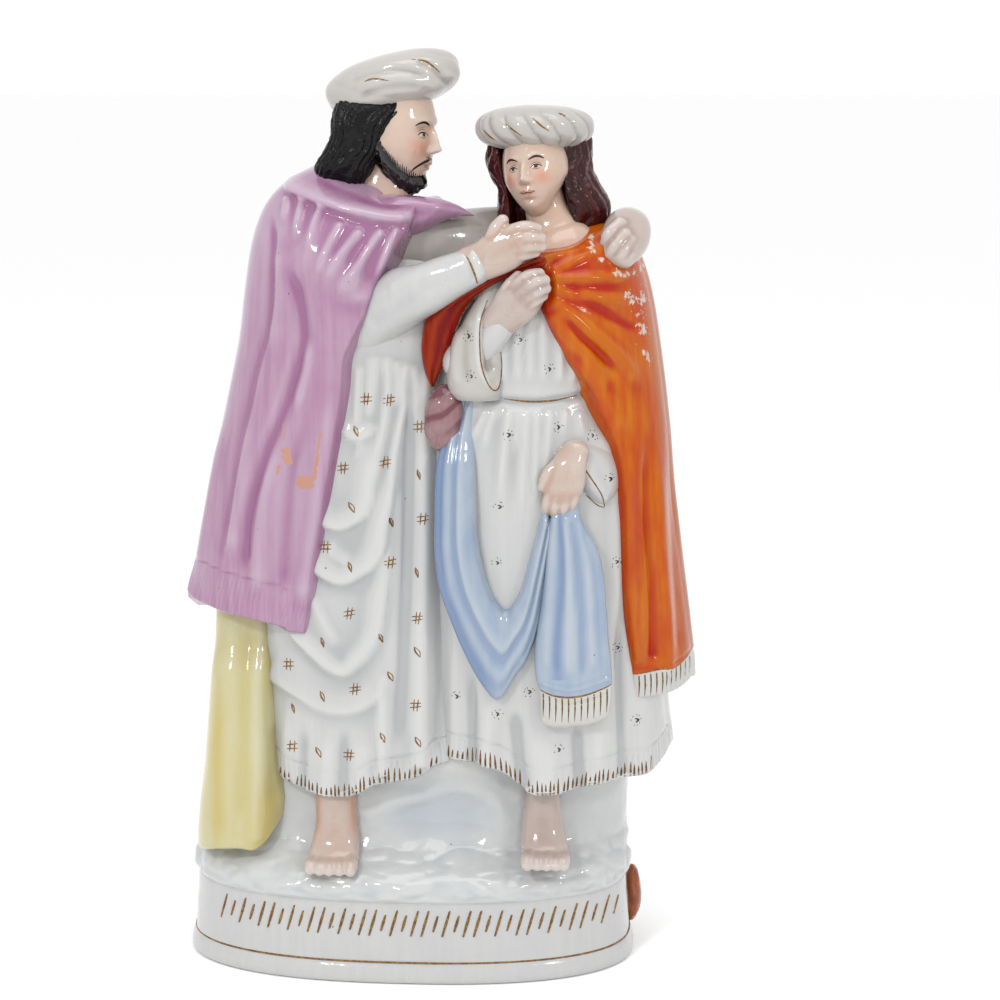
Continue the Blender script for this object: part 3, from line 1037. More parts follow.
orangeCloak = {
    "rows": [[109, 24, 110.1, -35, 38], [122, 20, 109.2, -36, 38], [150, 16, 105.8, -38, 38],
             [180, 13, 102.2, -39, 37], [208, 12, 99.3, -40, 36], [234, 12, 96, -41, 35],
             [256, 14, 92.5, -41, 33], [271, 22, 88.5, -38, 30], [282, 34, 83, -29, 25],
             [290, 44, 70, -18, 16]],
    "edge": [[104, 88.6], [109, 88], [119, 87], [122.6, 86.6], [137.1, 84.8], [152, 83.4], [170, 83.2],
             [187.6, 82.8], [202.5, 81.1], [208.7, 78.6], [217.9, 74.4], [227.5, 70.6], [233.3, 65.9],
             [241.7, 60.2], [252.6, 54.5], [258, 52.8], [264, 54.4], [270, 52], [276, 51], [283, 62],
             [290, 72]],
    "neck": [[40, 268], [51.6, 274.6], [60.1, 279.6], [65.7, 283], [70.6, 286.4], [76, 287.4], [84, 286],
             [92, 282]],
    "side": 1, "backReach": 2.4, "edgeRadius": 2.2,
    "levels": 190, "front": 140, "back": 44, "square": 2.4, "lip": 1.2, "flutes": (1.3, 8, 0.003),
    "hem": [[20, 108], [84, 110.4], [88, 110.4], [98, 110.8], [104, 111.4], [111, 113.6]], "hemBehind": 0,
    "fringe": {"pitch": 2.3, "tall": 9.6, "deep": 0.4, "scored": 0.4},
    "folds": [
        ([(51, 273), (63.5, 280.3), (71.8, 284.4), (80, 287)], 2.6, 2.8, 2.8, 0.05, 0.2),
        ([(55, 269), (66, 275), (78, 280)], 1.5, 1.7, 2, 0.1, 0.2),
        ([(55.2, 267.2), (70.4, 267.6), (86, 268.2)], 1.9, 1.8, 2, 0.1, 0.25),
        ([(55.9, 264.4), (67.1, 261.4), (86, 258.4)], 1.9, 1.9, 2.2, 0.1, 0.25),
        ([(55.9, 261), (67.2, 250.4), (76.4, 242.6), (84, 234), (88.5, 226)], 2.2, 2.6, 2.6, 0.08, 0.25),
        ([(56.4, 256), (63, 246), (70.5, 238), (77, 226)], 1.8, 2.8, 2.8, 0.1, 0.3),
        ([(60, 266), (74, 256), (90, 246)], -1.2, 2, 2, 0.2, 0.2),
        ([(60, 256), (70, 244), (82, 232)], -1.3, 2, 2, 0.2, 0.3),
        ([(66, 240), (74, 228), (84, 210)], 1.2, 3, 3, 0.3, 0.3),
        ([(84, 206), (84.6, 180), (86, 148), (89, 122)], 1.5, 2, 2.6, 0.2, 0.05),
        ([(91, 214), (92.4, 180), (94.6, 150), (95, 122)], -1.8, 2, 2, 0.25, 0.05),
        ([(95, 206), (96.4, 168), (99.4, 134), (100, 114)], 1.7, 2.2, 2.6, 0.3, 0.05),
        ([(99, 214), (102, 170), (105, 122)], -1.0, 2, 2, 0.3, 0.1),
    ],
}


def orangeFlakes(grid):
    # flaking round the far hand and down the outer shoulder
    x, z = grid[..., 0], grid[..., 2]
    spots = [([(69.7, 282.4), (71, 277), (74.6, 273)], 1.8), ([(78, 270), (84, 267.6), (89.4, 270)], 1.9),
             ([(83, 262), (87, 257), (90, 259)], 3), ([(87, 250), (90.6, 246)], 2.4),
             ([(90, 240), (92, 234)], 1.6)]
    scattered = 0.34 * np.exp(-(((x - 88) / 6) ** 2) - ((z - 256) / 20) ** 2)
    return np.maximum(patchMark(x, z, spots) * 0.52, scattered) * (grid[..., 1] < 10)


def orangeBare(grid):
    # the white fringe below the coloured cloth, 1 below the hem line and 0 above it
    x, z = grid[..., 0], grid[..., 2]
    line = np.interp(x, [20, 86, 98, 104, 111], [116, 118.4, 119.6, 119.4, 123])
    return np.where(grid[..., 1] < 30, np.clip(0.5 + (line - z) * 0.5, 0, 1), (z < 119) * 1.0)


def orangeSide(grid):
    # duller and pinker where the cloak turns round to the side
    return 0.7 * smoothStep(grid[..., 0] + 0.11 * (grid[..., 2] - 109), 104, 110)


makeDrape("orange_cloak", orangeCloak, orangeEnamel,
          {"patch": orangeFlakes, "bare": orangeBare, "tint": orangeSide})

# left x, z, right x, z, middle y, half depth
orangeWing = [[12, 227, 12.9, 227.2, -31, 3], [9.6, 230.6, 14.4, 230.2, -31, 4],
              [8.2, 237.6, 17.8, 237, -31.4, 5], [8.3, 244.6, 20.4, 244.4, -32, 5.4],
              [10.6, 253, 23.4, 252.6, -33, 5.6], [18, 259, 27.6, 259, -34, 5.6],
              [28, 264.4, 34, 264, -36, 5], [38, 269.6, 41.6, 267.8, -37.4, 4.4],
              [50, 275.6, 53, 271, -38, 4]]


def makeRibbon(name, stations, rings, look, slot, folds=(), uneven=0.08, marks=None, shareFolds=(),
               **options):
    # a band between two edges, with folds as lines seen from the front, or as shares of its width from
    # edge to edge
    grid, outward, c = ribbon(stations, rings, **options)
    towards = smoothStep(-outward[..., 1], 0, 0.5)
    lift = foldLift(grid[..., 0], grid[..., 2], folds)
    share = (c[None, :] + 1) / 2 + 0 * lift
    for middle, height, leftWidth, rightWidth in shareFolds:
        away = share - middle
        lift += height * np.exp(-((away / np.where(away > 0, rightWidth, leftWidth)) ** 2))
    lift = lift * towards + uneven * softNoise(grid, 6, 7)
    grid = grid + outward * lift[..., None]
    extra = {"crest": lift - softened(lift, 20)}
    for key, field in (marks or {}).items():
        extra[key] = field(grid, share)
    points, faces, filled = closedGrid(grid, extra)
    return newPiece(name, points, faces, look, filled)


def wingWear(grid, share):
    # white nicks along the wing's lower right edge
    return 0.62 * smoothStep(share, 0.9, 1.0) * (grid[..., 1] < -30)


makeRibbon("orange_wing", orangeWing, 110, wingEnamel, "orange_enamel", sides=56, square=2.6,
           marks={"patch": wingWear},
           shareFolds=[(0.35, 0.8, 0.14, 0.14), (0.62, -0.5, 0.1, 0.1)])

bellSleeve = {
    "rows": [[222.5, 20, 38, -41, -22], [226, 18, 38.8, -43.4, -21], [233, 17.3, 38.8, -44.4, -20],
             [243, 19.6, 38.6, -44.6, -20], [253, 24.6, 38.4, -43.6, -22], [262, 30, 39, -40, -26],
             [268, 34, 40, -36, -28]],
    "levels": 84, "front": 74, "back": 14, "square": 2.4, "folds": [
        ([(33.6, 258), (33.8, 246), (34.4, 232)], -2.4, 2.2, 2.0, 0.15, 0.15),
        ([(30.8, 258), (30.2, 244), (31.6, 233), (35.6, 226.4)], 0.9, 1.5, 1.3, 0.15, 0.15),
        ([(38, 244), (38.4, 234), (36.4, 226.6)], 0.7, 1.2, 1.2, 0.15, 0.15),
        ([(22, 250), (21, 238), (23, 226)], 0.8, 2.4, 2.4),
        ([(26, 252), (25, 240), (27, 228)], -0.6, 1.8, 1.8)],
}
makeDrape("bell_sleeve", bellSleeve, turbanGlaze)

sashSwag = [
    [21, 227, 32, 225.4, -30, 4], [18.4, 216, 29.4, 217, -32, 4.4], [15.6, 206, 28.6, 207.6, -34.4, 5],
    [13.8, 196, 28.8, 198, -37, 6], [13.3, 177, 29.1, 181, -38.8, 6.8], [13.3, 165.6, 29.6, 170.2, -39, 7],
    [14.9, 153, 32.4, 157, -39.4, 7], [18.4, 142.6, 35.4, 149.4, -39.6, 7],
    [23, 131, 37.8, 146, -39.8, 6.8], [30, 117.4, 39.4, 144.8, -40, 6.4], [37, 110.4, 41, 145.2, -40.2, 6],
    [43.4, 119.4, 42.6, 147.4, -40.4, 6], [48, 126.4, 44.8, 151.6, -40.4, 6],
    [51.6, 137, 46.8, 158, -40.4, 6], [54, 150, 49.2, 167.6, -40.6, 5.6], [57, 170, 53, 181.6, -41, 5],
]


def swagDepth(grid, share):
    # thicker blue down the outer edge of the swag
    return 0.85 * (1 - smoothStep(share, 0.1, 0.42)) * (1 - smoothStep(grid[..., 0], 30, 38))


makeRibbon("sash_swag", sashSwag, 200, blueEnamel, "blue_enamel", sides=84, square=2.8,
           marks={"tint": swagDepth, "bare": lambda grid, share: 0 * share},
           shareFolds=[(0.13, -0.5, 0.05, 0.08), (0.3, 0.5, 0.1, 0.12), (0.5, -1.0, 0.08, 0.03),
                       (0.58, 0.9, 0.04, 0.2)])

sashFan = [
    [57.2, 185, 67, 184, -41, 4], [56.2, 179, 68.4, 177.8, -41.6, 5], [55.2, 170, 73.4, 169.6, -42, 5.6],
    [54.4, 158, 76.2, 158, -42.2, 5.8], [52.6, 145, 77.2, 146, -42.2, 5.8],
    [50.6, 131, 78.4, 132, -42.2, 5.8], [50.8, 121, 79.4, 121, -42.2, 5.6],
    [52.4, 114.4, 79.4, 117.6, -42.2, 5.4], [52.8, 108, 79, 111.4, -42, 5],
    [53, 103.6, 78.4, 107, -41.8, 4.6],
]


def fanLine(x):
    return np.interp(x, [50, 53, 58, 64, 70, 76, 80], [117, 115.2, 113.6, 113.2, 114.2, 116.4, 118])


def fanBare(grid, share):
    return np.clip(0.5 + (fanLine(grid[..., 0]) - grid[..., 2]) * 0.5, 0, 1)


makeRibbon(
    "sash_end", sashFan, 160, blueEnamel, "blue_enamel", sides=106, square=3.2, cap=5,
    marks={"tint": lambda grid, share: 0.7 * np.exp(-(((share - 0.3) / 0.07) ** 2)) * (grid[..., 2] > 120),
           "bare": fanBare},
    folds=[
        ([(58.4, 182), (56.4, 160), (55, 122)], 0.7, 2, 2, 0.05, 0.1),
        ([(60.4, 182), (60, 160), (59, 122)], -0.9, 1.4, 1.6, 0.05, 0.1),
        ([(62.2, 182), (63.8, 150), (64.4, 120)], 0.9, 1.7, 2, 0.05, 0.1),
        ([(63.6, 181), (67, 156), (68.4, 120)], -0.8, 1.3, 1.5, 0.05, 0.1),
        ([(65.4, 181), (70, 165), (72.4, 122)], 0.9, 1.7, 1.9, 0.05, 0.1),
        ([(66.8, 178), (73.4, 158), (75.6, 122)], -0.5, 1.2, 1.4, 0.1, 0.15),
        ([(53, 118.4), (60, 117), (66, 116.6), (79, 121)], 0.6, 0.9, 0.9, 0.05, 0.05),
        ([(53, 113.6), (60, 111.6), (66, 111), (79, 115.4)], -0.5, 0.7, 0.7, 0.05, 0.05),
    ] + [([(54.4 + 2.35 * k, 112.6 + 0.18 * k), (54.5 + 2.3 * k, 103.4 + 0.3 * k)], -0.34, 0.5, 0.5, 0.1,
          0.01) for k in range(11)],
)

pouch = {"centre": (16.4, -34.6, 215.6), "halves": (7.2, 6.4, 12.4), "lean": 4}


def makePouch():
    # an egg with shallow slanting ribs
    theta = np.linspace(-np.pi / 2, np.pi / 2, 66)[1:-1, None]
    phi = np.linspace(0, 2 * np.pi, 84, endpoint=False)[None, :]
    ball = unitBall(theta, phi)
    square = np.sign(ball) * np.abs(ball) ** 0.92
    grid = square * pouch["halves"]
    grid[..., 0] += np.tan(np.radians(pouch["lean"])) * grid[..., 2]
    grid = grid + pouch["centre"]
    stripe = np.cos((grid[..., 2] - 0.62 * grid[..., 0]) / 1.35 + 0.6 * np.sin(grid[..., 0] / 2.2))
    lift = 0.16 * stripe + 0.12 * softNoise(grid, 2.2, 21)
    grid = grid + ball * lift[..., None]
    z = grid[..., 2]
    dark = np.clip(smoothStep(-stripe, 0.2, 0.9) * smoothStep(z, 208, 218) + 0.25 * (z > 222), 0, 0.9)
    points, faces, marks = closedGrid(grid, {"crest": lift, "tint": dark})
    newPiece("pouch", points, faces, pouchEnamel, marks)


makePouch()
sonForearm = [[24, -34, 236, 8, 8], [32, -37.4, 243, 6.4, 6], [37, -40, 249, 5.4, 5.2],
              [42, -42, 256, 5, 4.8]]
makeTube("son_forearm", sonForearm, 50, whiteGlaze, "white_glaze", sides=40)
leftSleeve = [[84, -5, 204, 9, 7], [79, -16.4, 201.6, 11, 7.6], [75, -25.6, 198.6, 12, 7.2],
              [72, -31.8, 196.2, 12.6, 6.4], [70.2, -35.4, 194.6, 12.4, 5.4]]
makeTube("left_sleeve", leftSleeve, 70, whiteGlaze, "white_glaze", hint=(-0.46, 0, 0.89), sides=56,
         folds=[([(64, 205), (69.7, 195.6), (74.6, 187.5)], 0.6, 1.2, 1.6)])
print("son's dress ready")


# Hands and feet

def fingerTube(start, bend, tip, size):
    # a finger from three places, a little thinner at its tip
    path = [[*start, size, size], [*bend, size, size * 0.96], [*tip, size * 0.86, size * 0.8]]
    return closedGrid(tube(path, 16, hint=(0.3, 1, 0.2), sides=20)[0])[:2]


def hollowness(points, faces, gain, offset):
    # how far each point stands out from its neighbours' mean, measured along the way from the middle
    first = np.concatenate([part.ravel() for part in faces])
    second = np.concatenate([np.roll(part, -1, axis=1).ravel() for part in faces])
    count = np.maximum(np.bincount(first, minlength=len(points)), 1)[:, None]
    blurred = points.copy()
    for _ in range(24):
        blurred = np.stack([np.bincount(first, blurred[second][:, k], minlength=len(points))
                            for k in range(3)], 1) / count
    away = points - points.mean(0)
    away /= np.maximum(np.linalg.norm(away, axis=1, keepdims=True), 1e-6)
    return np.clip(((points - blurred) * away).sum(1) * gain - offset, -1, 1)


# palms are stations of x, y, z, half width and half depth; fingers are start, bend, tip and half thickness
hands = {
    "father_near_hand": {
        "palm": [[26.6, -41.4, 272, 6.8, 5.4], [32, -42.4, 273.9, 7.2, 5], [37, -43, 276.6, 7.9, 4.8],
                 [42, -43.4, 279.2, 7.6, 4.6], [45.4, -43.2, 280.6, 6.2, 4.2]],
        "hint": (-0.35, 0, 1), "look": "flesh",
        "fingers": [((40, -44.4, 283.6), (46.4, -45.4, 285.8), (51.2, -43.8, 285.2), 2.7),
                    ((41, -45.2, 280.8), (47.6, -46.2, 282.4), (52.6, -44.4, 282), 2.7),
                    ((41, -45, 277.8), (47.6, -46, 279.2), (52.8, -44.2, 279.2), 2.6),
                    ((40.6, -44.2, 275), (46, -45, 276.2), (50.6, -43.6, 277), 2.4),
                    ((34.4, -43.4, 280.4), (36.4, -44, 285), (38.8, -43.4, 288.2), 2.9)],
    },
    "son_chest_hand": {
        "palm": [[35.6, -39.6, 250, 6.2, 5], [40, -42, 254.6, 7.2, 4.8], [44, -43, 259, 8.2, 4.8],
                 [47.6, -42.8, 263, 7.4, 4.4]],
        "hint": (1, 0, -0.8), "look": "pale",
        "fingers": [((42.6, -44.4, 264), (47.6, -45.4, 268.2), (52, -43.6, 269.4), 2.6),
                    ((44.4, -45.2, 261.6), (50, -46, 266), (54, -44, 267), 2.6),
                    ((45.8, -45.2, 259), (51, -45.8, 262.8), (54.4, -43.8, 264), 2.5),
                    ((46.2, -44.6, 256.4), (50.8, -45.2, 259.8), (53.4, -43.4, 261.2), 2.3),
                    ((38.8, -42.6, 258.6), (40.6, -44, 264), (44.4, -43.6, 268.4), 2.6)],
    },
    "son_left_hand": {
        "palm": [[65.4, -39.6, 204.2, 5.2, 4.4], [63, -42, 199, 6.6, 4.6], [61.6, -42.6, 193.6, 7.4, 4.6],
                 [60.4, -42.6, 188.6, 7, 4.2]],
        "hint": (1, 0, 0.2), "look": "flesh",
        "fingers": [((57.2, -43.4, 190.4), (55.4, -44.2, 186), (54.9, -42.8, 182.6), 2.3),
                    ((59.4, -44.2, 189.4), (58.3, -45, 185), (57.9, -43.2, 181.8), 2.3),
                    ((62.2, -44.2, 189.6), (61.4, -45, 185), (60.8, -43.2, 182), 2.3),
                    ((65, -43.4, 190.4), (64.4, -44.2, 186.4), (63.4, -42.8, 183.4), 2.3),
                    ((59, -42.4, 199.8), (55.6, -43.4, 196), (53.6, -43, 191.6), 2.7)],
    },
    "father_far_hand": {
        "palm": [[83.4, -10, 283.6, 8, 8], [83, -16, 282.8, 8.8, 8.4], [82.4, -21, 281, 9, 7.6],
                 [81, -25, 278, 8.4, 6.2], [79.6, -27, 275.4, 7, 5]],
        "hint": (1, 0, -0.3), "look": "pale",
        "fingers": [((80.4, -26, 286), (77, -28.6, 283), (75.4, -28, 279.6), 2.7),
                    ((82.4, -27.6, 282.4), (79, -30, 278.4), (76.8, -29.4, 275.4), 2.6),
                    ((84.4, -27.4, 280.4), (81.6, -30, 276.2), (79.6, -29.2, 273.4), 2.6),
                    ((86, -26.2, 278.6), (84, -28.8, 274.8), (82.6, -28, 272.6), 2.4)],
    },
}
handLooks = {"flesh": fleshEnamel, "pale": paleFlesh}
# voxel size in mm and rounds of smoothing of the joined skins
handSkin = {"voxel": 0.42, "rounds": 7}
footSkin = {"voxel": 0.55, "rounds": 14}
for name, hand in hands.items():
    palm = closedGrid(tube(hand["palm"], 40, hint=hand["hint"], sides=48)[0])[:2]
    points, faces = fused([palm] + [fingerTube(*finger) for finger in hand["fingers"]], **handSkin)
    marks = {"crest": hollowness(points, faces, 2.2, 0.5), "tint": np.zeros(len(points))}
    newPiece(name, points, faces, handLooks[hand["look"]], marks)

# stations of the leg and instep, and where the toes stand
feet = {
    "father_foot": {
        "stations": [[-26.4, -24, 82, 8.8, 8], [-26.3, -26.2, 67, 8.2, 7.4], [-26, -28, 57.6, 8.2, 7.4],
                     [-26, -31, 50.8, 9.2, 6.6], [-26.3, -35.6, 46.4, 9.8, 4.8],
                     [-26.5, -39.6, 44.2, 9.6, 3.6]],
        "toes": [-34.4, -30.6, -26.8, -23, -18.9], "low": 43.6, "big": 4,
    },
    "son_foot": {
        "stations": [[53.2, -24, 86, 7.4, 6.8], [53.2, -26.4, 71, 6.6, 6.4], [53, -28, 61.6, 7.6, 6.8],
                     [53.4, -31, 55.2, 8.4, 6.2], [54.4, -35.6, 50.4, 8.8, 4.8],
                     [55, -39.4, 48.2, 8.6, 3.6]],
        "toes": [48, 51.8, 55.4, 58.8, 62], "low": 47.6, "big": 0,
    },
}


def makeFoot(name, foot):
    # a sweep from the ankle over the instep, fused with five toes
    parts = [closedGrid(tube(foot["stations"], 60, hint=(1, 0, 0), sides=56)[0])[:2]]
    middle = np.mean(foot["toes"])
    for k, x in enumerate(foot["toes"]):
        size = 2.75 if k == foot["big"] else 2.35
        reach = 45.2 - 0.05 * (x - middle) ** 2 / 3
        low = foot["low"]
        start = (x * 0.85 + middle * 0.15, -36.6, low + 2.2)
        parts.append(fingerTube(start, (x, -(reach - 3), low + 1.4), (x, -reach, low - 0.4), size))
    points, faces = fused(parts, **footSkin)
    sideways = np.abs(points[:, 0] - foot["stations"][2][0])
    tint = 0.45 * smoothStep(sideways, 3.4, 7) * smoothStep(points[:, 2], foot["low"] + 6, foot["low"] + 16)
    paler = 1 - smoothStep(points[:, 2], foot["low"] + 1, foot["low"] + 7)
    marks = {"crest": np.clip(hollowness(points, faces, 1.8, 0.5) + 0.4 * paler, -1, 1), "tint": tint}
    newPiece(name, points, faces, fleshEnamel if name == "father_foot" else paleFlesh,
             marks)


for name, foot in feet.items():
    makeFoot(name, foot)
print("hands and feet ready")


# Heads, hair and turbans

# rise, side, how far out, half width, half height; a pair stands on both sides
faceBumps = [
    (0.30, 0.33, 0.040, 0.30, 0.075), (0.13, 0.36, -0.085, 0.19, 0.10), (0.09, 0.36, 0.060, 0.135, 0.06),
    (0.125, 0.36, 0.020, 0.15, 0.018), (0.22, 0.0, -0.015, 0.13, 0.09), (0.08, 0.0, 0.085, 0.085, 0.13),
    (-0.06, 0.0, 0.130, 0.095, 0.11), (-0.17, 0.0, 0.190, 0.105, 0.075), (-0.19, 0.13, 0.075, 0.065, 0.055),
    (-0.26, 0.0, -0.03, 0.2, 0.035), (-0.38, 0.0, 0.050, 0.24, 0.07), (-0.405, 0.07, 0.022, 0.10, 0.028),
    (-0.445, 0.0, -0.040, 0.20, 0.016), (-0.485, 0.0, 0.042, 0.14, 0.032),
    (-0.565, 0.0, -0.035, 0.20, 0.04), (-0.72, 0.0, 0.085, 0.22, 0.12), (-0.16, 0.52, 0.030, 0.26, 0.2),
]
heads = {
    "father_head": {"centre": (-5, -5, 318), "halves": (17.5, 14.5, 22), "turn": -18, "nod": -6, "roll": 0,
                    "beard": True},
    "son_head": {"centre": (49.4, -12, 304.6), "halves": (14.6, 12.4, 17.6), "turn": -108, "nod": 2,
                 "roll": 9, "beard": False},
}
# distance ahead of the head's middle as seen from the side, and the height of the beard's upper edge there
beardTop = {"ahead": [-9, -2.4, -1.3, 1.4, 4.7, 8.3, 10.9, 13.5, 15, 18],
            "up": [5, -2.9, -5.5, -8.6, -11.7, -13.8, -14, -13.2, -12.6, -12.4]}
# how far the lower half of the head reaches down, as a share, from its back to its front
jaw = {"ahead": [-1, -0.5, -0.14, 0.1, 0.4, 0.7, 1], "share": [0.3, 0.38, 0.52, 0.72, 0.9, 1.0, 1.05]}
headGrid = {"levels": 121, "sides": 160}
# cosine and sine of the 72 degrees between straight ahead and the view of a cheek
cheekTurn = {"cosine": 0.309, "sine": 0.951}


def headAxes(head):
    # the way ahead, to the head's left and up, turned about Z, nodded and rolled, in degrees
    turn, nod, roll = np.radians([head["turn"], head["nod"], head["roll"]])
    ahead = np.array([np.cos(turn) * np.cos(nod), np.sin(turn) * np.cos(nod), np.sin(nod)])
    side = np.array([-np.sin(turn), np.cos(turn), 0])
    up = np.cross(ahead, side)
    return ahead, side * np.cos(roll) + up * np.sin(roll), up * np.cos(roll) - side * np.sin(roll)


def makeHead(name, head):
    # rings of radius (1 - |rise|^2.5)^0.4, narrower at the jaw, whose underside rises towards the neck,
    # with the bumps of a plain face in front, and for the father a short beard below a line, thick by a
    # smooth step
    rise = np.sin(np.linspace(-np.pi / 2, np.pi / 2, headGrid["levels"]))[1:-1, None]
    spread = np.linspace(-np.pi, np.pi, headGrid["sides"], endpoint=False)[None, :]
    phi = spread - 0.5 * np.sin(spread)
    ring = (1 - np.abs(rise) ** 2.5) ** 0.4
    narrow = 1 - 0.26 * smoothStep(-rise, 0.0, 0.9) - 0.06 * smoothStep(rise, 0.2, 0.9)
    side = np.sin(phi) * ring * narrow
    ahead = np.cos(phi) * ring * (1 - 0.06 * smoothStep(-rise, 0.5, 1))
    facing = smoothStep(np.cos(phi), 0.15, 0.6)
    lift = np.zeros((rise.size, spread.size))
    for up, across, out, wide, high in faceBumps:
        for way in ((1, -1) if across else (1,)):
            lift += out * np.exp(-(((side - way * across) / wide) ** 2) - ((rise - up) / high) ** 2)
    lift *= facing
    length, width, height = head["halves"]
    lowered = np.interp(np.cos(phi) * ring**0.5, jaw["ahead"], jaw["share"])
    tall = height * rise * np.where(rise < 0, 1 + (lowered - 1) * smoothStep(-rise, 0, 0.3), 1)
    axes = np.array(headAxes(head))
    local = np.stack([length * (ahead * 0.92 + lift), width * side, tall], -1)
    out = local / np.linalg.norm(local, axis=-1, keepdims=True)
    below = np.full(lift.shape, -9.0)
    if head["beard"]:
        seenAhead = cheekTurn["sine"] * local[..., 0] - cheekTurn["cosine"] * np.abs(local[..., 1])
        below = np.interp(seenAhead, beardTop["ahead"], beardTop["up"]) - local[..., 2]
        strands = np.abs(np.sin(1.1 * seenAhead + 0.5 * local[..., 2] + 0.8 * np.sin(local[..., 2] / 2)))
        local = local + out * (smoothStep(below, -0.4, 2.6) * (1.6 + 0.4 * strands))[..., None]
    grid = local @ axes + head["centre"]
    if head["beard"]:
        rough = smoothStep(below, 0, 1.5)
        curls = 0.35 * softNoise(grid, 1.5, 31) + 0.25 * softNoise(grid, 0.8, 32)
        grid = grid + (out @ axes) * (rough * curls)[..., None]
    blush = sum(np.exp(-(((side - way * 0.5) / 0.2) ** 2) - ((rise + 0.14) / 0.15) ** 2)
                for way in (1, -1)) * facing
    crest = (lift - softened(lift, 60)) * length
    marks = {"bare": np.clip(0.5 + below * 0.5, 0, 1), "crest": crest, "tint": 0.6 * blush}
    points, faces, filled = closedGrid(grid, marks)
    newPiece(name, points, faces, faceEnamel, filled)


for name, head in heads.items():
    makeHead(name, head)

necks = {
    "father_neck": [[-13, -5, 284, 17, 15.6], [-10, -5, 292, 13.4, 12.4], [-8.6, -4.6, 299, 10.8, 9.6],
                    [-7.6, -4, 307, 10, 8.4], [-7, -4, 315, 9, 7.6]],
    "son_neck": [[57, -14, 266, 19, 16], [57.4, -13, 276, 16, 13.4], [55.4, -11.6, 283, 10.6, 9.6],
                 [53, -11, 290, 8.2, 8.2], [51, -11, 298, 7.6, 7.6]],
}
for name, stations in necks.items():
    makeTube(name, stations, 50, faceEnamel, "flesh_enamel", sides=56, uneven=0.15,
             marks={"bare": lambda grid: np.zeros(grid.shape[:2]),
                    "tint": lambda grid: np.full(grid.shape[:2], 0.06)})

fatherHair = {
    "rows": [[297.5, -31.6, -16, -15, 14], [301, -33.4, -13.6, -17.6, 16], [306, -33.4, -10, -20, 17],
             [311, -30.8, -7.6, -21.6, 17.6], [316, -28.8, -6, -22, 17.6], [320, -27.6, -4, -22, 17.4],
             [324, -26.8, -0.6, -21.6, 17], [328, -26, 3, -20.6, 16], [332, -25, 4, -18, 14],
             [337, -24, 3, -15, 12]],
    "levels": 100, "front": 96, "back": 50, "square": 3.4, "lip": 1.6, "lock": 13, "curl": 0.7,
}
sonHair = {
    "rows": [[279.5, 37.6, 71, -12, 9], [282, 35.4, 74.6, -15.4, 11], [287, 34.6, 76.6, -18, 12.6],
             [293, 34.2, 75.8, -18.6, 13.4], [299, 33.4, 72.4, -18.4, 13.4], [305, 31, 70.6, -18, 13],
             [311, 30.2, 69.4, -17.4, 12.4], [318, 31, 68.4, -15, 11]],
    "levels": 116, "front": 120, "back": 44, "square": 2.3, "lip": 1.6, "lock": 9, "curl": 0.5, "sink": 12,
    "soft": 1.4,
    # height, and where the opening for the face begins and ends; its edge is soft over 1.4 mm either way
    "opening": [[279, 41, 65], [285.4, 40.6, 62.6], [291, 40, 60.9], [297, 39.2, 59.4], [303.9, 38, 58.2],
                [308, 37.1, 56.5], [313.8, 35.7, 54.3], [320, 35, 52]],
}


def makeHair(name, shape, look):
    # the hair's ovals with wavy upright locks and small curls from noise, sunk by 12 mm where the face
    # comes through
    turns = frontTurns(shape["front"], shape["back"])[None, :]
    grid, outward = ovalRings(shape["rows"], shape["levels"], turns, shape["square"])
    x, z = grid[..., 0], grid[..., 2]
    wave = turns * shape["lock"] + 1.1 * np.sin(z / 3.6 + 0.6 * turns) + 0.4 * np.sin(z / 1.9 + 3 * turns)
    lift = 0.8 * (np.abs(np.sin(wave)) - 0.6)
    lift += shape["curl"] * (0.7 * softNoise(grid, 3, 41, (1, 1, 1.6)) + 0.35 * softNoise(grid, 1.3, 42))
    lift += 0.55 * np.sin(z / 3.3 + 1.3 * turns)
    grid = grid + outward * lift[..., None]
    if "opening" in shape:
        opening = throughRows(shape["opening"], 100)
        start, end = (np.interp(z, opening[:, 0], opening[:, k]) for k in (1, 2))
        soft = shape["soft"]
        begun = smoothStep(x, start - soft, start + soft)
        inside = begun * (1 - smoothStep(x, end - soft, end + soft)) * (turns < 0)
        grid[..., 1] += shape["sink"] * inside
    crest = lift - softened(lift, 12)
    points, faces, filled = closedGrid(withLip(grid, outward, shape["lip"]), {"crest": withLipRows(crest)})
    newPiece(name, points, faces, look, filled)


makeHair("father_hair", fatherHair, blackEnamel)
makeHair("son_hair", sonHair, brownEnamel)

turbans = {
    "father_turban": {
        "centre": (-5, -3, 337.1), "halves": (26, 20.4, 10.7), "tilt": 14, "twists": 3, "lean": 3.2,
        "deep": 0.6, "power": 1.1,
        "folds": [([(-22, 336), (-10, 340.6), (2, 341.4), (12, 339)], -1.0, 1.6, 1.8, 0.2, 0.2),
                  ([(-18, 330.4), (-6, 335), (4, 335.6), (10, 334.4)], -0.9, 1.6, 1.6, 0.2, 0.2),
                  ([(5, 345), (11, 343), (15, 338.6), (16, 335)], -1.2, 1.4, 1.6, 0.2, 0.2),
                  ([(10, 333), (15, 337), (19, 341)], 0.9, 2.6, 2.6, 0.2, 0.2)],
    },
    "son_turban": {
        "centre": (48.3, -8, 320.5), "halves": (22.3, 19.2, 8.5), "tilt": 1, "twists": 8, "lean": 2.6,
        "deep": 1.1, "power": 0.6, "folds": [],
    },
}


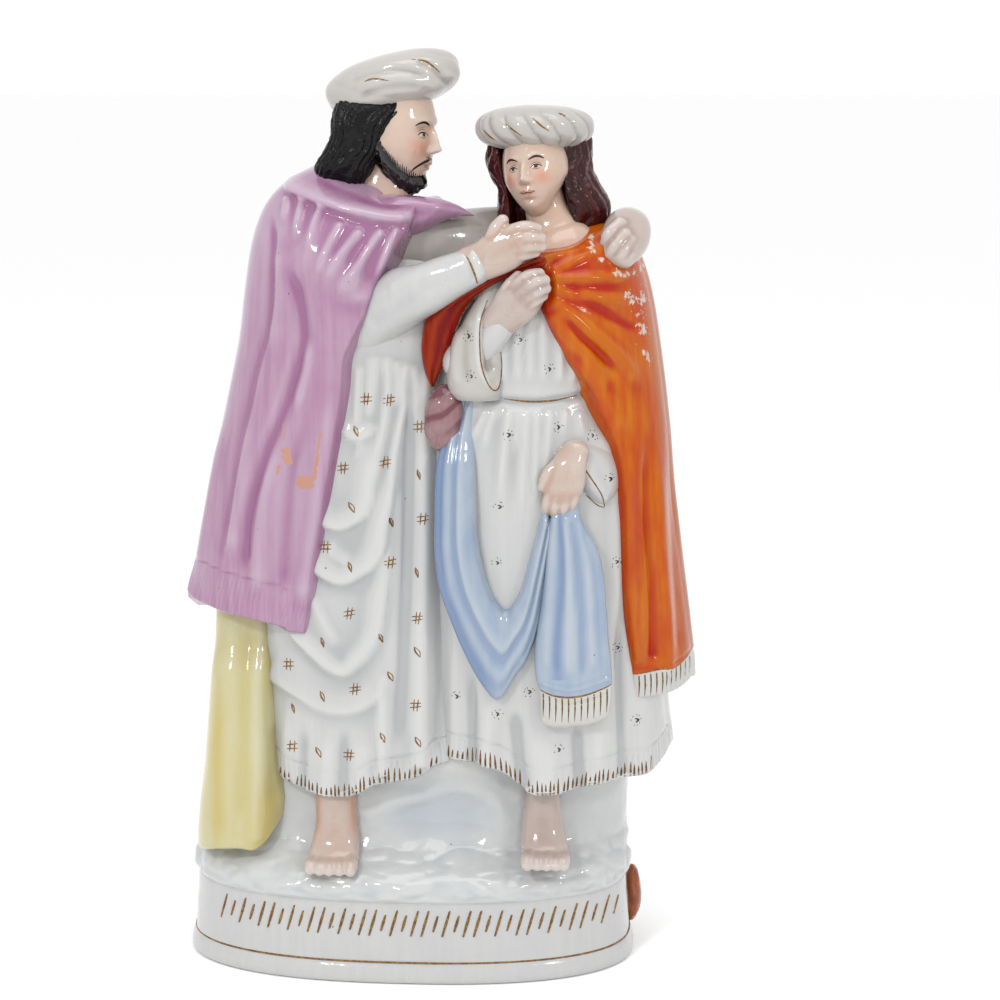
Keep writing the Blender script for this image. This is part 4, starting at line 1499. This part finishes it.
def makeTurban(name, turban):
    # a fat squarish roll: its surface sinks along slanting grooves 1 - |sin|^0.6 of turn and rise,
    # which fade on the crown
    theta = np.linspace(-np.pi / 2, np.pi / 2, 97)[1:-1, None]
    phi = frontTurns(120, 48)[None, :]
    up = np.sin(theta)
    ring = np.cos(theta) ** 0.82
    ball = np.stack(np.broadcast_arrays(ring * np.cos(phi), ring * np.sin(phi),
                                        np.sign(up) * np.abs(up) ** 0.85), -1)
    out = unitBall(theta, phi)
    groove = 1 - np.abs(np.sin((turban["twists"] * phi + turban["lean"] * up))) ** turban["power"]
    fade = smoothStep(0.86 - up, 0, 0.5) * smoothStep(up + 0.95, 0, 0.35)
    lift = -turban["deep"] * groove * fade
    grid = ball * turban["halves"]
    lean = np.radians(turban["tilt"])
    turned = np.array([[np.cos(lean), 0, np.sin(lean)], [0, 1, 0], [-np.sin(lean), 0, np.cos(lean)]])
    grid = grid @ turned + turban["centre"]
    out = out @ turned
    lift = lift + foldLift(grid[..., 0], grid[..., 2], turban["folds"]) * smoothStep(-out[..., 1], 0, 0.4)
    lift += 0.12 * softNoise(grid, 6, 51)
    grid = grid + out * lift[..., None]
    points, faces, filled = closedGrid(grid, {"crest": lift - softened(lift, 20)})
    newPiece(name, points, faces, turbanGlaze, filled)


for name, turban in turbans.items():
    makeTurban(name, turban)
print("heads ready")


# Gilt and painted lines

random = np.random.default_rng(12)
robeTree = treeOf("father_robe", "pink_cloak")
gownTree = treeOf("son_gown")
sleeveTree = treeOf("bell_sleeve", "near_sleeve", "left_sleeve", "son_gown")
fanTree = treeOf("sash_end")
orangeTree = treeOf("orange_cloak")


def hemStrokes(tree, hem, start, end, pitch, tall, width):
    # short tapered strokes that stand on a hem line, thick at the foot, in small groups
    strokes = []
    x = start
    while x < end:
        foot = np.interp(x, *throughRows(hem, 200).T)
        reach = tall * (0.55 + 0.6 * random.random())
        lean = 0.5 * (random.random() - 0.5) + 0.35 * np.sin(x / 9)
        path = [(x, foot - 0.9), (x + lean * 0.5, foot + reach * 0.45), (x + lean, foot + reach)]
        strokes.append(paintedStroke(tree, path, [width * 1.15, width, width * 0.2]))
        x += pitch * (0.75 + 0.5 * random.random())
    return strokes


crossMarks = [(-12.5, 221.9), (-4, 221.6), (7, 211.7), (-21.3, 196.1), (-5.3, 198.5), (8.3, 177.3),
              (-28.1, 166.2), (-3.8, 160.8), (-19.4, 141.1), (6.2, 139.6), (-43.5, 119.9), (-17.4, 112.2),
              (5.3, 106.1), (-42.5, 88), (-20, 86.5)]
leafMarks = [(6.9, 193.8), (-18.1, 181.5), (-3.3, 176), (-18.8, 159.1), (6, 156.8), (-29.7, 129.8),
             (-7.4, 132.1), (6.1, 126.6), (-4.1, 117.1), (-30, 108.9), (-41.9, 102.8), (-31.8, 87),
             (-7, 93.8), (6.3, 92.1), (-16.3, 210)]


def crossMark(tree, x, z):
    # two upright and two level dashes that cross, a little uneven
    strokes = []
    for shift in (-0.75, 0.75):
        jitter = random.uniform(-0.25, 0.25, 4)
        strokes.append(paintedStroke(tree,
                                     [(x + shift + jitter[0] + 0.25, z + 2.3),
                                      (x + shift + jitter[1] - 0.15, z - 2.3)],
                                     [0.3, 0.62, 0.3]))
        strokes.append(paintedStroke(tree,
                                     [(x - 2.2, z + shift + jitter[2] - 0.3),
                                      (x + 2.2, z + shift + jitter[3] + 0.3)],
                                     [0.28, 0.6, 0.3]))
    return strokes


def leafMark(tree, x, z):
    # a small leaf from a thick curved stroke and a thin one beside it, open between them
    lean = random.uniform(0.6, 1.3)
    left = [(x - lean * 0.9, z + 1.9), (x - lean * 0.5 - 0.1, z + 0.1), (x + lean * 0.9, z - 1.9)]
    right = [(x - lean * 0.9, z + 1.9), (x + lean * 0.75, z + 0.4), (x + lean * 0.9, z - 1.9)]
    return [paintedStroke(tree, left, [0.3, 0.85, 0.35]), paintedStroke(tree, right, [0.25, 0.5, 0.25])]


gilt = []
for x, z in crossMarks:
    gilt += crossMark(robeTree, x, z)
for x, z in leafMarks:
    gilt += leafMark(robeTree, x, z)
paintPiece("robe_pattern", gilt, gilding)

hemPaint = hemStrokes(robeTree, robe["hem"], -48, 13, 1.75, 4.6, 0.75)
hemPaint += hemStrokes(gownTree, gown["hem"], 16, 98, 1.75, 4.8, 0.75)
for k in range(11):
    x = 54 + 2.36 * k
    top = fanLine(x) - 0.5
    hemPaint.append(paintedStroke(fanTree, [(x, top), (x + 0.1, top - 4), (x - 0.1, top - 9.4)],
                                  [0.55, 0.6, 0.12]))
for k in range(5):
    x = 89.2 + 2.2 * k
    top = 118.2 + 0.1 * k
    hemPaint.append(paintedStroke(orangeTree, [(x, top), (x + 0.2, top - 4), (x, top - 8.6)],
                                  [0.5, 0.6, 0.12]))
for k in range(6):
    x = 99.6 + 1.75 * k
    top = 118.6 + 0.42 * k
    hemPaint.append(paintedStroke(orangeTree, [(x, top), (x + 0.1, top - 3), (x, top - 6)],
                                  [0.4, 0.5, 0.12]))
paintPiece("fringe_strokes", hemPaint, brownGilding)

lines = [
    (gownTree, [(38.9, 222.9), (45, 222.1), (51.3, 221.9), (58, 222.4), (65.4, 223.9)],
     [0.3, 0.7, 0.75, 0.6, 0.3]),
    (sleeveTree, [(33.1, 259.4), (30.9, 252.2), (30.6, 244.6), (31.3, 235.7), (33.8, 228.7), (36, 226.5),
                  (37.6, 228.7), (38.2, 235.8),
                  (37.6, 242.9)], [0.3, 0.45, 0.5, 0.5, 0.5, 0.5, 0.5, 0.45, 0.3]),
    (sleeveTree, [(24.5, 277.2), (26.8, 274.4), (28.2, 271.4), (29.3, 268.4), (29.8, 265.7)],
     [0.3, 0.7, 0.8, 0.8, 0.4]),
    (sleeveTree, [(63.7, 205.4), (69.4, 197), (74.7, 188.5), (75.9, 182.8)], [0.6, 0.65, 0.5, 0.3]),
    (sleeveTree, [(75.7, 182.6), (73, 183.9), (69.3, 187.6)], [0.3, 0.45, 0.35]),
    (fanTree, [(53, 115.6), (58, 113.9), (64, 113.4), (70, 114.5), (76, 116.8), (79, 118)],
     [0.5, 0.7, 0.8, 0.7, 0.6, 0.4]),
    (orangeTree, [(88.4, 118.9), (93, 119.4), (98, 120), (103, 119.6), (107, 121.4), (109.6, 122.9)],
     [0.4, 0.6, 0.6, 0.5, 0.45, 0.3]),
]
turbanTree = treeOf("father_turban", "son_turban")
for path in ([(30, 320), (32.2, 317.8), (34.6, 316.2)], [(38.4, 322.2), (41.4, 320), (44.6, 317.9)],
             [(48.6, 324.3), (51.5, 321.7), (54.5, 319.7)], [(57.6, 326.1), (60.4, 325)],
             [(-13.4, 337.4), (-9.8, 338.4), (-4.3, 337.7)],
             [(3.6, 345.4), (8.4, 344.8), (11.3, 343), (13.9, 340.6)]):
    lines.append((turbanTree, path, [0.2, 0.7, 0.65, 0.2]))
goldLines = [paintedStroke(tree, path, widths) for tree, path, widths in lines]


def plinthLine(z, width):
    # a thin band round the plinth at a height, closed on itself
    turns = frontTurns(240, 120)
    profile = plinthOval(np.array([z - width / 2, z - width / 4, z + width / 4, z + width / 2]), turns)
    outward = profile * [1, 1, 0]
    outward /= np.linalg.norm(outward, axis=-1, keepdims=True)
    heights = np.array([0.16, 0.26, 0.26, 0.16])[:, None, None]
    outer = profile + outward * heights
    inner = profile[[2, 1]] - outward[[2, 1]] * 0.3
    ring = np.concatenate([outer, inner]).transpose(1, 0, 2)
    a = np.arange(ring.shape[0] * 6).reshape(-1, 6)
    b = np.roll(a, -1, axis=0)
    quads = np.stack([a, np.roll(a, -1, axis=1), np.roll(b, -1, axis=1), b], -1).reshape(-1, 4)
    points = ring.reshape(-1, 3)
    if enclosed(points, [quads]) < 0:
        quads = quads[:, ::-1]
    return points, [quads]


goldLines.append(plinthLine(8.3, 0.7))
paintPiece("gold_lines", goldLines, gilding)

flowers = [(44.9, 244.9), (55.5, 234.1), (27.4, 232), (26.3, 246.6), (40.5, 210.1), (58.8, 212.8),
           (71.3, 209.3), (37.2, 183.3), (77.9, 193.4), (80.4, 162.1), (36.5, 104.3), (59.7, 91.2),
           (88.4, 101), (48.4, 113.3), (81.1, 129.2), (20.7, 109.7), (36.5, 162.2)]
commas, dots = [], []
for x, z in flowers:
    bend, size = random.uniform(-0.3, 0.3), random.uniform(0.75, 1.1)
    comma = [(x - 0.5 * size, z + 0.8 * size), (x + 0.55 + bend, z + 0.1), (x - 0.2, z - 0.8 * size)]
    commas.append(paintedStroke(sleeveTree, comma, [0.3, 1.0 * size, 0.4], gap=0.4))
    for k in range(random.integers(5, 9)):
        turn = 2 * np.pi * k / 7.5 + random.uniform(-0.35, 0.35)
        reach = random.uniform(1.5, 2.2)
        px, pz = x + reach * np.cos(turn), z + reach * np.sin(turn)
        dot = [(px, pz + 0.22), (px + random.uniform(-0.15, 0.15), pz - 0.22)]
        dots.append(paintedStroke(sleeveTree, dot, [0.2, 0.42, 0.2], gap=0.2))
paintPiece("flower_commas", commas, greenPaint)
paintPiece("flower_dots", dots, greenPaint)


def headView(name):
    ahead, side, up = headAxes(heads[name])
    return {"origin": heads[name]["centre"], "right": side, "up": up, "look": -ahead}


def facePath(name, points):
    # places on a face as shares of its half width and half height
    _, width, height = heads[name]["halves"]
    return [(side * width, rise * height) for side, rise in points]


features = {
    "brows": [(-0.60, 0.215), (-0.48, 0.27), (-0.34, 0.275), (-0.17, 0.225)],
    "lids": [(-0.53, 0.06), (-0.44, 0.105), (-0.32, 0.112), (-0.20, 0.06)],
    "creases": [(-0.52, 0.115), (-0.42, 0.15), (-0.31, 0.15), (-0.22, 0.115)],
    "iris": [(-0.36, 0.112), (-0.362, 0.045)],
    "lowerLids": [(-0.48, 0.035), (-0.38, 0.018), (-0.26, 0.035)],
}
facePaint = {"hair": [], "brow": [], "line": [], "eye": [], "lip": []}
for name in heads:
    tree, view = treeOf(name), headView(name)
    browKey = "hair" if heads[name]["beard"] else "brow"
    for way in (1, -1):
        sides = {}
        for key, path in features.items():
            sides[key] = facePath(name, [(way * side, rise) for side, rise in path])
        facePaint[browKey].append(paintedStroke(tree, sides["brows"], [0.3, 0.95, 0.9, 0.3], view, gap=0.5))
        facePaint["line"].append(paintedStroke(tree, sides["lids"], [0.2, 0.5, 0.5, 0.2], view, gap=0.4))
        facePaint["brow"].append(paintedStroke(tree, sides["creases"], [0.1, 0.2, 0.2, 0.1], view, gap=0.4))
        facePaint["eye"].append(paintedStroke(tree, sides["iris"], [1.3, 1.5, 1.0], view, gap=0.3))
        facePaint["line"].append(paintedStroke(tree, sides["lowerLids"], [0.1, 0.2, 0.1], view, gap=0.4))
    mouth = facePath(name, [(-0.25, -0.425), (-0.1, -0.447), (0, -0.44), (0.1, -0.447), (0.25, -0.425)])
    facePaint["line"].append(paintedStroke(tree, mouth, [0.12, 0.3, 0.3, 0.3, 0.12], view, gap=0.4))
    upper = facePath(name, [(-0.21, -0.42), (-0.08, -0.405), (0, -0.418), (0.08, -0.405), (0.21, -0.42)])
    lower = facePath(name, [(-0.17, -0.465), (0, -0.49), (0.17, -0.465)])
    facePaint["lip"].append(paintedStroke(tree, upper, [0.25, 0.75, 0.6, 0.75, 0.25], view, 0.03, 0.4))
    facePaint["lip"].append(paintedStroke(tree, lower, [0.3, 1.1, 0.3], view, 0.03, 0.4))


def cheekView(name, way):
    # a view of one side of a head, 72 degrees round from straight ahead
    ahead, side, up = headAxes(heads[name])
    cosine, sine = cheekTurn["cosine"], cheekTurn["sine"]
    look = -(cosine * ahead + sine * way * side)
    right = sine * ahead - cosine * way * side
    return {"origin": heads[name]["centre"], "right": right, "up": up, "look": look}


headTree = treeOf("father_head")
for way in (1, -1):
    view = cheekView("father_head", way)
    for k in range(24):
        across = -2.6 + 0.62 * k
        foot = np.interp(across, beardTop["ahead"], beardTop["up"]) - 0.5
        tall = (2.6 + 0.9 * random.random()) * (1 - 0.55 * smoothStep(np.array(across), 8.5, 11.5))
        lean = -1.5 + 0.09 * k
        path = [(across, foot), (across + lean * 0.4, foot + tall * 0.5), (across + lean, foot + tall)]
        facePaint["hair"].append(paintedStroke(headTree, path, [0.6, 0.42, 0.1], view, gap=0.4))
    for k in range(9):
        share = k / 8
        top = (15.6 - 5.4 * share, -6.7 - 3.8 * share**1.3)
        path = [top, (top[0] - 0.5, top[1] - 1.0), (top[0] - 1.4, top[1] - 2.1)]
        facePaint["hair"].append(paintedStroke(headTree, path, [0.2, 0.5, 0.15], view, gap=0.3))
paintPiece("brows_and_beard_strokes", facePaint["hair"], hairPaint)
paintPiece("brows_of_son", facePaint["brow"], browPaint)
paintPiece("face_lines", facePaint["line"], darkPaint)
paintPiece("irises", facePaint["eye"], eyePaint)
paintPiece("lips", facePaint["lip"], lipPaint)
print("painted lines ready")


# Floor, light and sky

studio = {"floorSize": 240.0, "sky": 1.0, "backdrop": 1.03}


def makeStudio():
    half = studio["floorSize"] / 2
    mesh = bpy.data.meshes.new("floor")
    mesh.from_pydata([(-half, -half, 0), (half, -half, 0), (half, half, 0), (-half, half, 0)], [],
                     [(0, 1, 2, 3)])
    floor = bpy.data.objects.new("floor", mesh)
    bpy.context.scene.collection.objects.link(floor)
    material, tree, shader, place = newFinish("floor paper")
    grain = noiseAt(tree, place, 60, (1, 1, 1), 3.0)
    tone = blendColours(tree, grain, (0.972, 0.972, 0.972, 1), (0.988, 0.988, 0.988, 1))
    feed(tree, shader.inputs["Base Color"], tone)
    shader.inputs["Roughness"].default_value = 0.8
    mesh.materials.append(material)

    world = bpy.data.worlds.new("sky")
    bpy.context.scene.world = world
    world.use_nodes = True
    tree = world.node_tree
    light = tree.nodes["Background"]
    light.inputs["Color"].default_value = (1, 1, 1, 1)
    light.inputs["Strength"].default_value = studio["sky"]
    behind = tree.nodes.new("ShaderNodeBackground")
    behind.inputs["Color"].default_value = (1, 1, 1, 1)
    behind.inputs["Strength"].default_value = studio["backdrop"]
    mix = tree.nodes.new("ShaderNodeMixShader")
    path = tree.nodes.new("ShaderNodeLightPath")
    tree.links.new(path.outputs["Is Camera Ray"], mix.inputs[0])
    tree.links.new(light.outputs[0], mix.inputs[1])
    tree.links.new(behind.outputs[0], mix.inputs[2])
    tree.links.new(mix.outputs[0], tree.nodes["World Output"].inputs["Surface"])

    # place, aim, size and power of each lamp
    lamps = {
        "key": ((-0.45, -1.05, 0.95), (0, 0, 0.2), 0.16, 5.0),
        "side": ((0.75, -0.75, 0.7), (0.03, 0, 0.2), 0.12, 1.8),
        "top": ((0.1, -0.3, 1.4), (0, 0, 0.1), 0.8, 4.0),
    }
    for name, (place, aim, size, power) in lamps.items():
        data = bpy.data.lights.new(name, "AREA")
        data.size = size
        data.energy = power
        lamp = bpy.data.objects.new(name, data)
        lamp.location = place
        lamp.rotation_euler = (Vector(aim) - Vector(place)).to_track_quat("-Z", "Y").to_euler()
        bpy.context.scene.collection.objects.link(lamp)
    bpy.context.scene.view_settings.view_transform = "Standard"


makeStudio()
print("studio ready")
